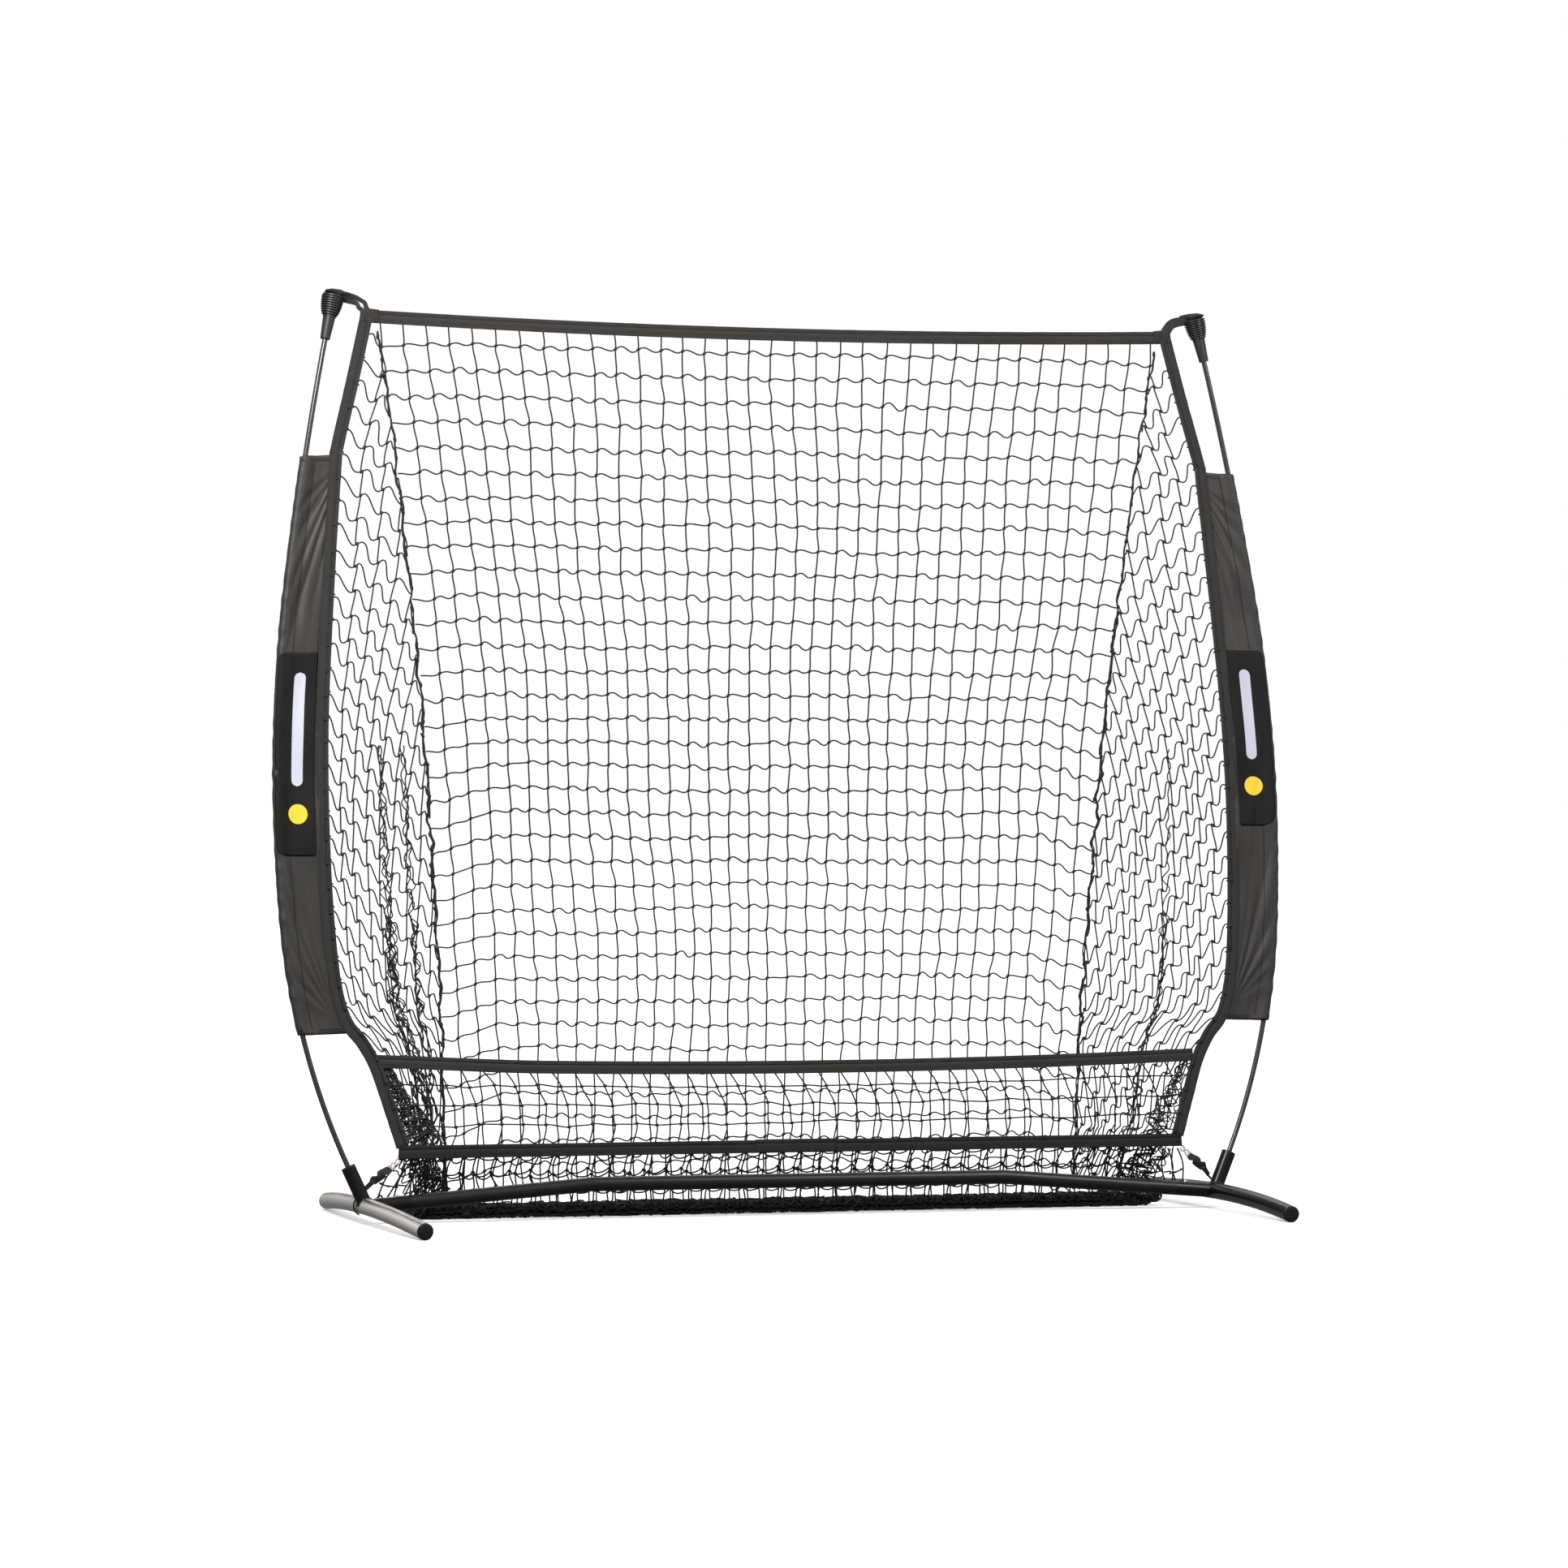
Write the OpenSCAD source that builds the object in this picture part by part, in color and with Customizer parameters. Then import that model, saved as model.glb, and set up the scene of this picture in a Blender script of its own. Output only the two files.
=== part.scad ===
// Pitching target net: a pocket of knotted netting hung between two sprung bow poles on a
// tube base. Millimetres. X runs along the crossbar, -Y is the open front, +Z is up.
// The origin is on the ground, under the middle of the crossbar.

/* [Base] */
// Distance from the middle to each foot tube
foot_x = 693; // [600:1:760]
// Outside diameter of the foot tubes
foot_od = 25.4; // [22:0.1:32]
// Wall of the foot tubes
foot_wall = 1.2; // [1:0.1:2]
// Length of one foot tube from end to end, without its caps
foot_len = 608; // [560:2:800]
// How far the middle of a foot stands above its ends
foot_rise = 14; // [8:1:24]
// How far the ends of a foot stand in from its middle, on average
foot_toe = 13.5; // [4:0.5:20]
// Turn of each foot on the ground, its rear end towards the middle
foot_turn = 2; // [0:0.5:3]
// Outside diameter of the crossbar
bar_od = 22.2; // [20:0.1:24]
// Wall of the crossbar
bar_wall = 0.8; // [0.8:0.1:1.2]
// Height of the crossbar's flat middle
bar_z = 54.5; // [48:0.5:70]
// Distance from the middle to the crossbar's bends
bend_x = 335; // [250:5:420]
// Distance from the middle to the outer seams of the crossbar
seam_x = 624; // [600:1:640]
// Place of the seam in the middle of the crossbar
mid_seam_x = 25; // [20:1:40]
// Outside diameter of the pole sockets
socket_od = 22; // [20:0.5:26]
// Length of a pole socket above the middle of its foot
socket_len = 66; // [50:1:90]

/* [Bow] */
// Backward lean of the whole front frame, in degrees
lean_deg = 6.4; // [0:0.1:12]
// Outward slope of the pole where it leaves its socket, in degrees
socket_deg = 24; // [20:1:28]
// Outside diameter of a pole
pole_od = 8; // [7:0.5:9]
// Lengths of the pole's lower, middle and upper sections, above the socket
arc_len = [360, 520, 468]; // [300:1:600]
// Bend radii of the pole's lower, middle and upper sections
arc_r = [1066, 2390, 5400]; // [800:1:8000]

/* [Netting and fabric] */
// Width of the webbing tapes
tape_w = 20; // [15:1:25]
// Thickness of the webbing tapes
tape_t = 1.6; // [1.2:0.1:2]
// Height of the top tape's upper edge at its ends
top_z = 1384; // [1300:1:1450]
// Sag of the top tape
top_sag = 11; // [0:1:20]
// Height of the lip tape's upper edge at its ends
lip_z = 250; // [200:1:300]
// Height of the bottom tape's upper edge
bottom_z = 117; // [110:1:130]
// Thickness of the netting panels
net_t = 2; // [1.5:0.5:3]
// Distance from the front frame's foot back to the back net at the ground
pocket_y = 166; // [150:1:250]
// Height of the netting gathered on the ground
pile_h = 18; // [12:1:24]

/* [Hidden] */

$fn = 64;
gap = 0.3;            // space between soft pieces that meet
weld_gap = 0.02;      // space between welded tubes
fit_gap = 0.1;        // radial space between tubes that slide into each other
steel = "#202022";
fabric = "#2b2b2c";
black = "#1a1a1b";
bright = "#c9c6c0";

// --- base ---
foot_r = foot_od / 2;
foot_in_r = foot_r - foot_wall;
foot_sag = norm([foot_rise, foot_toe]);
foot_roll = atan(foot_toe / foot_rise);
foot_bend_r = (foot_len * foot_len / 4 + foot_sag * foot_sag) / (2 * foot_sag);
foot_tilt = asin(foot_len / 2 / foot_bend_r);
foot_drop = sin(foot_tilt) * cos(foot_roll);
cap_rim = 1.4;
foot_end_z = foot_r * sqrt(1 - foot_drop * foot_drop) + cap_rim * foot_drop;
foot_mid_z = foot_end_z + foot_rise;
bar_r = bar_od / 2;
bar_in_r = bar_r - bar_wall;
spigot_r = bar_in_r - fit_gap;
spigot_in_r = spigot_r - bar_wall;
spigot_len = 45;
mid_spigot_len = 65;
neck_len = 2;
bar_tilt = atan((bar_z - foot_mid_z) / (foot_x - bend_x));
socket_r = socket_od / 2;
socket_in_r = socket_r - 1.5;

// --- snap buttons, measured from the tube's axis ---
button_r = 3;
button_hole_r = button_r + 0.08;
button_out_hole_r = button_r + 0.25;
button_top = bar_r + 3;
flange_r = 4.2;
flange_top = 8.35;
flange_t = 1.2;
button_x = seam_x + 18;
leaf_t = 0.8;
leaf_w = 8;
leaf_top = flange_top - flange_t - 0.05;
leaf_bottom = -8.4;
leaf_reach = 28;

// --- bow, in the leaning plane: x and the distance v up that plane ---
pole_r = pole_od / 2;
pole_bore_r = 2.1;
pole_in_socket = 52;
shock_r = 1.5;
shock_steps = 45;
ferrule_len = 60;
ferrule_r = 4.9;
ferrule_in_r = pole_r + 0.15;
arc_start = [0, arc_len[0], arc_len[0] + arc_len[1]];
bow_len = arc_len[0] + arc_len[1] + arc_len[2];
arc_h0 = [socket_deg, socket_deg - turn(0), socket_deg - turn(0) - turn(1)];
socket_top = [foot_x + socket_len * sin(socket_deg), foot_mid_z + socket_len * cos(socket_deg)];
tunnel_r = 8;
tunnel_in_r = 6.8;
panel_t = 1.2;
sleeve_bottom = up(290);
sleeve_top = up(1158);

function turn(i) = arc_len[i] / arc_r[i] * 180 / PI;
function arc_of(s) = s < arc_start[1] ? 0 : s < arc_start[2] ? 1 : 2;
function arc_from(i) = i == 0 ? socket_top : arc_point(i - 1, arc_len[i - 1]);
function arc_centre(i) = arc_from(i) + arc_r[i] * [-cos(arc_h0[i]), sin(arc_h0[i])];
function arc_point(i, s) = let (h = arc_h0[i] - s / arc_r[i] * 180 / PI)
    arc_centre(i) + arc_r[i] * [cos(h), -sin(h)];
// Outward slope of the pole at length s above its socket, in degrees
function bow_heading(s) = let (i = arc_of(s))
    arc_h0[i] - (s - arc_start[i]) / arc_r[i] * 180 / PI;
// The point at length s above the socket, moved outward by out
function bow_point(s, out = 0) = let (i = arc_of(s), h = bow_heading(s))
    arc_point(i, s - arc_start[i]) + out * [cos(h), -sin(h)];
// The pole's distance from the middle at the distance v up the plane, found by halving
function bow_s(v, low = 0, high = bow_len, n = 16) = let (mid = (low + high) / 2)
    n == 0 ? mid : bow_point(mid)[1] < v ? bow_s(v, mid, high, n - 1) : bow_s(v, low, mid, n - 1);

// --- heights above the ground, as distances up the leaning plane and back from the front ---
function up(z) = foot_mid_z + (z - foot_mid_z) / cos(lean_deg);
function back(z) = (z - foot_mid_z) * tan(lean_deg);

// A smooth curve through points, n steps between each pair
function curve_at(p0, p1, p2, p3, t) = 0.5 * (2 * p1 + (p2 - p0) * t
    + (2 * p0 - 5 * p1 + 4 * p2 - p3) * t * t + (3 * p1 - p0 - 3 * p2 + p3) * t * t * t);
function curve(p, n) = let (last = len(p) - 1) [for (i = [0 : last - 1], k = [0 : n - 1])
    curve_at(p[max(i - 1, 0)], p[i], p[i + 1], p[min(i + 2, last)], k / n), p[last]];
function unit(a) = a / norm(a);
function step_at(p, i) = unit(p[min(i + 1, len(p) - 1)] - p[max(i - 1, 0)]);
function backwards(p) = [for (i = [len(p) - 1 : -1 : 0]) p[i]];
// A curve in the plane moved sideways, to the right of its direction
function beside(p, far) = [for (i = [0 : len(p) - 1]) let (t = step_at(p, i))
    p[i] + far * [t[1], -t[0]]];
// The first coordinate of a rising line of points where its second is v
function edge_x(p, v, i = 0) = i >= len(p) - 2 || p[i + 1][1] >= v
    ? let (t = (v - p[i][1]) / (p[i + 1][1] - p[i][1])) p[i][0] + t * (p[i + 1][0] - p[i][0])
    : edge_x(p, v, i + 1);

// --- the inner edge of the right side tape, from the bottom tape to the top tape ---
tape_inner = [for (p = [[626, 124.5], [643, 178], [663, 238], [684, 277], [708, 308],
    [722, 356], [730, 430], [735, 540], [736, 660], [732, 785], [719, 968], [701, 1167],
    [669, 1272], [651, 1361]]) [p[0], up(p[1])]];
tape_edge = curve(tape_inner, 4);
tape_steps = len(tape_edge) - 1;
sleeve_first = 16;    // steps of the tape's edge where the sleeve starts and ends
sleeve_last = 44;

// --- netting ---
seam_r = 2.5;
seam_points = [[520, 20], [527, 244], [535, 394], [563, 753], [581, 921], [599, 1065],
    [613, 1177], [640, 1346]];
net_top_z = 1351;
back_top_y = back(net_top_z) + 3;
function back_net_y(z) = pocket_y + (back_top_y - pocket_y) * z / net_top_z;
seam_flat = curve(seam_points, 4);
seam_line = [for (p = seam_flat) [p[0], back_net_y(p[1]), p[1]]];
pile_front = 60;
pile_half = 600;
skirt_half = 596;
splice_t = 1.2;

// --- corner ties: a straight run from the tape's corner to the foot tube ---
hook_y = 20;
hook_ring_r = foot_r + 1.9;
wire_r = 1.25;
tie_from = [642.5, back(94) + 0.2, 94];
hook_centre = [foot_x - hook_y * tan(foot_turn), hook_y, foot_mid_z];
tie_gap = [tie_from[0] - hook_centre[0], tie_from[2] - hook_centre[2]];
hook_from = atan2(tie_gap[1], tie_gap[0]) - acos(hook_ring_r / norm(tie_gap));
tie_to = hook_centre + hook_ring_r * [cos(hook_from), 0, sin(hook_from)];
tie_len = norm(tie_to - tie_from);
elastic_len = 14;
tab_len = 32;
hook_sweep = 115;

// ---------------------------------------------------------------- shared shapes

// Stands things drawn upright back to the slope of the front frame
module lean() {
    translate([0, 0, foot_mid_z]) rotate([-lean_deg, 0, 0]) translate([0, 0, -foot_mid_z])
        children();
}

// A flat outline in the leaning plane, t thick, its middle y back from the plane
module in_frame(t, y = 0) {
    lean() translate([0, y + t / 2, 0]) rotate([90, 0, 0]) linear_extrude(t) children();
}

module ring(outer, inner) {
    difference() {
        circle(r = outer);
        circle(r = inner);
    }
}

module tube(outer, inner, long) {
    difference() {
        cylinder(r = outer, h = long);
        translate([0, 0, -1]) cylinder(r = inner, h = long + 2);
    }
}

// Moves to the pole's point at length s, with +Z along the pole
module at_bow(s) {
    lean() translate([bow_point(s)[0], 0, bow_point(s)[1]]) rotate([0, bow_heading(s), 0])
        children();
}

// The stretch of section i of the bow from s0 to s1, as a tube
module section_tube(i, s0, s1, outer, inner) {
    from = s0 - arc_start[i];
    lean() translate([arc_centre(i)[0], 0, arc_centre(i)[1]]) rotate([90, 0, 0])
        rotate([0, 0, from / arc_r[i] * 180 / PI - arc_h0[i]])
        rotate_extrude(angle = (s1 - s0) / arc_r[i] * 180 / PI, $fn = 256)
        translate([arc_r[i], 0]) ring(outer, inner);
}

// A thin sheet stretched between two lines of points
module sheet_between(a, b, t) {
    n = len(a);
    side = [for (i = [0 : n - 1]) unit(cross(b[i] - a[i], step_at(a, i) + step_at(b, i))) * t / 2];
    points = [for (i = [0 : n - 1]) each [a[i] + side[i], b[i] + side[i],
        b[i] - side[i], a[i] - side[i]]];
    walls = [for (i = [0 : n - 2], k = [0 : 3]) each let (j = (k + 1) % 4)
        [[4 * i + k, 4 * i + j, 4 * i + 4 + k], [4 * i + j, 4 * i + 4 + j, 4 * i + 4 + k]]];
    polyhedron(points, concat([[2, 1, 0], [3, 2, 0]], walls,
        [[4 * n - 4, 4 * n - 3, 4 * n - 2], [4 * n - 4, 4 * n - 2, 4 * n - 1]]));
}

// A round cord along a line of points, with 8 sides
module cord_along(p, r) {
    n = len(p);
    points = [for (i = [0 : n - 1]) let (t = step_at(p, i), u = unit(cross(t, [0, 1, 0])),
        w = cross(t, u)) each [for (k = [0 : 7]) p[i] + r * (u * cos(45 * k) + w * sin(45 * k))]];
    walls = [for (i = [0 : n - 2], k = [0 : 7]) let (j = (k + 1) % 8)
        [8 * i + k, 8 * i + j, 8 * i + 8 + j, 8 * i + 8 + k]];
    polyhedron(points, concat([[for (k = [7 : -1 : 0]) k]], walls,
        [[for (k = [0 : 7]) 8 * (n - 1) + k]]));
}

// ---------------------------------------------------------------- base

// Moves to the middle of a foot, with -Z towards the inside of its bend
module at_foot() {
    translate([foot_x, 0, foot_mid_z]) rotate([0, 0, foot_turn]) rotate([0, foot_roll, 0]) children();
}

// One tube, bent down and inwards so that it stands on its two ends
module foot_tube() {
    at_foot() translate([0, 0, -foot_bend_r]) rotate([0, 90, 0]) rotate([0, 0, 180 - foot_tilt])
        rotate_extrude(angle = 2 * foot_tilt, $fn = 512)
        translate([foot_bend_r, 0]) ring(foot_r, foot_in_r);
}

// The room that a foot takes up near its middle, for what is welded to it
module foot_room() {
    at_foot() translate([0, -50, 0]) rotate([-90, 0, 0])
        cylinder(r = foot_r + 3 * weld_gap, h = 100);
}

module end_cap(side) {
    plug_r = foot_in_r - 0.15;
    at_foot() translate([0, side * foot_len / 2, -foot_sag])
        rotate([-side * (90 + foot_tilt), 0, 0]) translate([0, 0, weld_gap]) rotate_extrude()
            polygon([[0, -2], [plug_r - 1.5, -2], [plug_r - 1.5, -18], [plug_r, -18], [plug_r, 0],
                [foot_r, 0], [foot_r, cap_rim], [foot_r - 0.7, 2.4], [foot_r - 2.6, 3.1],
                [foot_r - 6, 3.5], [0, 3.5]]);
}

// Moves to the sloping end of the crossbar, with +Z along it towards the middle
module at_bar_end(x) {
    rise = (foot_x - x) * tan(bar_tilt);
    translate([x, 0, foot_mid_z + rise]) rotate([0, bar_tilt - 90, 0]) children();
}

module bar_stub() {
    difference() {
        at_bar_end(foot_x) tube(bar_r, bar_in_r, (foot_x - seam_x) / cos(bar_tilt) - weld_gap);
        foot_room();
        at_bar_end(button_x) button_hole(button_out_hole_r);
    }
}

// A hole up through the top wall of a tube that runs along +Z towards the middle
module button_hole(r) {
    rotate([0, 90, 0]) cylinder(r = r, h = bar_r + 5);
}

// One half of the crossbar as a solid rod: the sloping run from in past its seam, the mitred
// bend, and the flat run to end_x
module bar_rod(r, in, end_x) {
    difference() {
        at_bar_end(seam_x) translate([0, 0, in])
            cylinder(r = r, h = (seam_x - bend_x) / cos(bar_tilt) + 10 - in);
        past_bend(-1);
    }
    difference() {
        translate([bend_x + 10, 0, bar_z]) rotate([0, -90, 0])
            cylinder(r = r, h = bend_x + 10 - end_x);
        past_bend(1);
    }
}

// Everything on one side of the bend's mitre
module past_bend(side) {
    translate([bend_x, 0, bar_z]) rotate([0, bar_tilt / 2, 0]) translate([side * 50, 0, 0])
        cube(100, center = true);
}

// The swaged end that plugs into the stub, as a solid
module end_spigot(r, over) {
    at_bar_end(seam_x) translate([0, 0, -spigot_len - over]) cylinder(r = r, h = spigot_len + 5 + over);
}

// The swaged middle end that plugs into the other half, as a solid
module mid_spigot(r, over) {
    translate([mid_seam_x - mid_spigot_len - over, 0, bar_z]) rotate([0, 90, 0])
        cylinder(r = r, h = mid_spigot_len + 5 + over);
}

module crossbar_left() {
    difference() {
        union() {
            bar_rod(bar_r, 0, -mid_seam_x);
            end_spigot(spigot_r, 0);
        }
        union() {
            bar_rod(bar_in_r, neck_len, -mid_seam_x - 1);
            end_spigot(spigot_in_r, 1);
        }
        at_bar_end(button_x) button_hole(button_hole_r);
        translate([0, 0, bar_z]) cylinder(r = button_out_hole_r, h = bar_r + 5);
    }
}

module crossbar_right() {
    difference() {
        union() {
            bar_rod(bar_r, 0, mid_seam_x + weld_gap);
            end_spigot(spigot_r, 0);
            mid_spigot(spigot_r, 0);
        }
        union() {
            bar_rod(bar_in_r, neck_len, mid_seam_x + neck_len);
            end_spigot(spigot_in_r, 1);
            mid_spigot(spigot_in_r, 1);
        }
        at_bar_end(button_x) button_hole(button_hole_r);
        translate([0, 0, bar_z]) cylinder(r = button_hole_r, h = bar_r + 5);
    }
}

// A domed button on the axis of its tube, standing along +Z
module button() {
    translate([0, 0, flange_top - flange_t]) cylinder(r = flange_r, h = flange_t);
    translate([0, 0, flange_top - 0.1]) cylinder(r = button_r, h = button_top - button_r - flange_top + 0.1);
    translate([0, 0, button_top - button_r]) sphere(r = button_r);
}

// The folded leaf spring under a button, along +X
module leaf() {
    bend_r = (leaf_top - leaf_bottom) / 2;
    mid = (leaf_top + leaf_bottom) / 2;
    rotate([90, 0, 0]) translate([0, 0, -leaf_w / 2]) linear_extrude(leaf_w) {
        translate([-5, leaf_top - leaf_t]) square([leaf_reach + 5, leaf_t]);
        translate([-12, leaf_bottom]) square([leaf_reach + 12, leaf_t]);
        intersection() {
            translate([leaf_reach, mid]) ring(bend_r, bend_r - leaf_t);
            translate([leaf_reach, leaf_bottom - 1]) square([bend_r + 1, 2 * bend_r + 2]);
        }
    }
}

module side_button() { at_bar_end(button_x) rotate([0, 90, 0]) button(); }
module side_leaf() { at_bar_end(button_x) rotate([0, 90, 0]) rotate([0, 0, 180]) leaf(); }

module pole_socket() {
    difference() {
        lean() translate([foot_x, 0, foot_mid_z]) rotate([0, socket_deg, 0])
            tube(socket_r, socket_in_r, socket_len - 2 - weld_gap);
        foot_room();
        at_bar_end(foot_x) cylinder(r = bar_r + weld_gap, h = 60);
    }
}

module socket_bushing() {
    at_bow(0) difference() {
        union() {
            translate([0, 0, -2]) cylinder(r = socket_r, h = 2);
            translate([0, 0, -26]) cylinder(r = socket_in_r - 0.02, h = 25);
        }
        translate([0, 0, -27]) cylinder(r = pole_r + 0.5, h = 28);
    }
}

// ---------------------------------------------------------------- bow poles

pole_end = bow_len - 8;

// Metal sleeves over the joints between the pole's sections
module ferrules() {
    for (i = [0, 1]) {
        r = 2 / (1 / arc_r[i] + 1 / arc_r[i + 1]);
        turn = ferrule_len / r * 180 / PI;
        at_bow(arc_start[i + 1]) rotate([90, 0, 0]) translate([-r, 0, 0]) rotate([0, 0, -turn / 2])
            rotate_extrude(angle = turn, $fn = 256) translate([r, 0]) ring(ferrule_r, ferrule_in_r);
    }
}

// The ribbed cap on the pole's tip: a smooth collar under a stack of thin fins
module tip_cap() {
    collar = 34;
    fins = 10;
    pitch = 3.5;
    fin_t = 1.7;
    core = [8.2, 10];
    function fin_r(k) = 10 + 7.2 * sin(90 * pow(k / (fins - 1), 0.7));
    outline = concat([[4.25, 0], [7.4, 0], [9.5, collar]],
        [for (k = [0 : fins - 1]) let (z = collar + 0.5 + k * pitch,
            c = core[0] + (core[1] - core[0]) * k / fins)
            each [[c, z], [fin_r(k), z], [fin_r(k), z + fin_t], [c, z + fin_t]]],
        [[0, collar + 0.5 + (fins - 1) * pitch + fin_t], [0, 63], [4.25, 63]]);
    at_bow(bow_len - 34) translate([0, 0, -35]) {
        rotate_extrude() polygon(outline);
        for (a = [0, 90]) rotate([0, 0, a]) rotate([90, 0, 0]) translate([0, 0, -0.9])
            linear_extrude(1.8) for (side = [-1, 1]) polygon(concat([[side * 6, collar]],
                [for (k = [0 : fins - 1]) [side * (fin_r(k) - 0.8), collar + 1 + k * pitch]],
                [[side * 6, collar + 1 + (fins - 1) * pitch]]));
    }
}

// The webbing loop from the net's top corner over the tip cap
module corner_loop() {
    over = curve([[656, 1376], [668, 1389], [682, 1407], [699, 1414.5], [716, 1413], [730, 1409]], 4);
    line = [for (p = over) [p[0], up(p[1])]];
    in_frame(18) polygon(concat(line, backwards(beside(line, -3.2))));
}

// ---------------------------------------------------------------- fabric and tapes

module sleeve() {
    from = bow_s(sleeve_bottom);
    to = bow_s(sleeve_top);
    steps = 24;
    outer = [for (k = [0 : steps]) bow_point(from + (to - from) * k / steps, -(tunnel_r + tunnel_in_r) / 2)];
    inner = beside([for (i = [sleeve_first : sleeve_last]) tape_edge[i]], tape_w + gap);
    in_frame(panel_t) polygon(concat(outer, backwards(inner)));
    difference() {
        in_frame(2 * tunnel_r) bow_strip(from, to, tunnel_r, steps);
        in_frame(2 * tunnel_in_r) bow_strip(from - 5, to + 5, tunnel_in_r, steps);
    }
}

// The stretch of the bow from s0 to s1 as a flat strip
module bow_strip(s0, s1, half, steps) {
    s = [for (k = [0 : steps]) s0 + (s1 - s0) * k / steps];
    polygon(concat([for (a = s) bow_point(a, half)], [for (a = backwards(s)) bow_point(a, -half)]));
}

module sleeve_patch(low, high) {
    from = bow_s(up(low));
    to = bow_s(up(high));
    steps = 8;
    t = 0.8;
    outer = [for (k = [0 : steps]) bow_point(from + (to - from) * k / steps, -tunnel_r - gap)];
    inner = [for (k = [0 : steps]) bow_point(from + (to - from) * k / steps, -58)];
    in_frame(t, -(panel_t + t) / 2 - 0.05) polygon(concat(outer, backwards(inner)));
}

module side_tape() {
    in_frame(tape_t) polygon(concat(tape_edge, backwards(beside(tape_edge, tape_w))));
}

// A tape across the frame from -half to half, its ends half_low apart at its lower edge
module cross_tape(z, sag, half, half_low) {
    steps = 12;
    edge = [for (k = [-steps : steps]) let (t = k / steps) [half * t, up(z - sag * (1 - t * t))]];
    low_edge = [for (k = [-steps : steps]) let (t = k / steps)
        [half_low * t, up(z - sag * (1 - t * t)) - tape_w]];
    in_frame(tape_t) polygon(concat(edge, backwards(low_edge)));
}

// ---------------------------------------------------------------- netting

module back_panel() {
    edge = [for (p = seam_flat) [p[0] - seam_r - 1.5, p[1]]];
    slope = atan((pocket_y - back_top_y) / net_top_z);
    translate([0, pocket_y + net_t / 2, 0]) rotate([slope, 0, 0]) rotate([90, 0, 0])
        linear_extrude(net_t)
        polygon(concat(edge, [for (p = backwards(edge)) [-p[0], p[1]]]));
}

// The side of the pocket, from the tape's inner edge back to the corner seam
module side_panel() {
    steps = 24;
    low = 22;
    high = 1318;
    heights = [for (k = [0 : steps]) low + (high - low) * k / steps];
    front = [for (z = heights) z < bottom_z + 4
        ? let (t = (z - low) / (bottom_z + 4 - low)) [604 + 16 * t, 66 - 54 * t, z]
        : [edge_x(tape_edge, up(z)) - 3.5, back(z) + 0.5, z]];
    rear = [for (k = [0 : steps]) let (z = heights[k], p = [edge_x(seam_flat, z), back_net_y(z), z])
        p - unit(p - front[k]) * (seam_r + 1.5)];
    sheet_between(front, rear, net_t);
}

module lip_panel() {
    top_v = up(lip_z) - tape_w - gap;
    low_v = up(bottom_z) + 1 + gap;
    sag = 12;
    steps = 8;
    edge = [for (k = [-steps : steps]) let (t = k / steps) [650 * t, top_v - sag * (1 - t * t)]];
    in_frame(net_t) polygon(concat(edge, [[618, low_v], [-618, low_v]]));
}

// Netting that drops from the bottom tape back to the pile on the ground
module skirt_panel() {
    top = [back(bottom_z) - 1.4, bottom_z - tape_w - 1];
    foot = [pile_front + 6, pile_h + 1];
    side = unit([foot[1] - top[1], top[0] - foot[0]]) * net_t / 2;
    translate([-skirt_half, 0, 0]) rotate([90, 0, 90]) linear_extrude(2 * skirt_half)
        polygon([top + side, foot + side, foot - side, top - side]);
}

module pile() {
    r = pile_h / 2;
    rear = pocket_y - 2;
    translate([-pile_half, 0, 0]) rotate([90, 0, 90]) linear_extrude(2 * pile_half) {
        translate([pile_front + r, 0]) square([rear - pile_front - r, pile_h]);
        translate([pile_front + r, r]) circle(r = r);
        translate([pile_front + r, 0]) square([rear - pile_front - r, r]);
    }
}

// ---------------------------------------------------------------- corner ties

// Moves to a point along the tie, with +Z along it towards the foot
module at_tie(s) {
    d = (tie_to - tie_from) / tie_len;
    translate(tie_from + d * s) rotate([0, acos(d[2]), atan2(d[1], d[0])]) children();
}

module tie_elastic() {
    at_tie(0) translate([-0.75, -3, 0]) cube([1.5, 6, elastic_len]);
}

module tie_tab() {
    at_tie(elastic_len + gap) translate([-1, -5, 0]) cube([2, 10, tab_len - gap]);
}

// A wire hook over the foot tube, its shank crimped in a short sleeve
module tie_hook() {
    shank = elastic_len + tab_len + gap;
    at_tie(shank) cylinder(r = wire_r + 0.4, h = tie_len - shank + 2);
    translate(hook_centre) rotate([90, 0, 0]) rotate([0, 0, hook_from - hook_sweep])
        rotate_extrude(angle = hook_sweep) translate([hook_ring_r, 0]) circle(r = wire_r);
}

// ---------------------------------------------------------------- nodes

module left() { mirror([1, 0, 0]) children(); }

module left_foot_tube() { color(bright) left() foot_tube(); }
module right_foot_tube() { color(steel) foot_tube(); }
module left_front_end_cap() { color(black) left() end_cap(-1); }
module left_rear_end_cap() { color(black) left() end_cap(1); }
module right_front_end_cap() { color(black) end_cap(-1); }
module right_rear_end_cap() { color(black) end_cap(1); }
module left_bar_stub() { color(steel) left() bar_stub(); }
module right_bar_stub() { color(steel) bar_stub(); }
module left_crossbar() { color(steel) left() crossbar_left(); }
module right_crossbar() { color(steel) crossbar_right(); }
module left_pole_socket() { color(black) left() pole_socket(); }
module right_pole_socket() { color(black) pole_socket(); }
module left_socket_bushing() { color(black) left() socket_bushing(); }
module right_socket_bushing() { color(black) socket_bushing(); }
module left_snap_button() { color(bright) left() side_button(); }
module centre_snap_button() { color(bright) translate([0, 0, bar_z]) button(); }
module right_snap_button() { color(bright) side_button(); }
module left_button_spring() { color(bright) left() side_leaf(); }
module centre_button_spring() { color(bright) translate([0, 0, bar_z]) leaf(); }
module right_button_spring() { color(bright) side_leaf(); }
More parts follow.
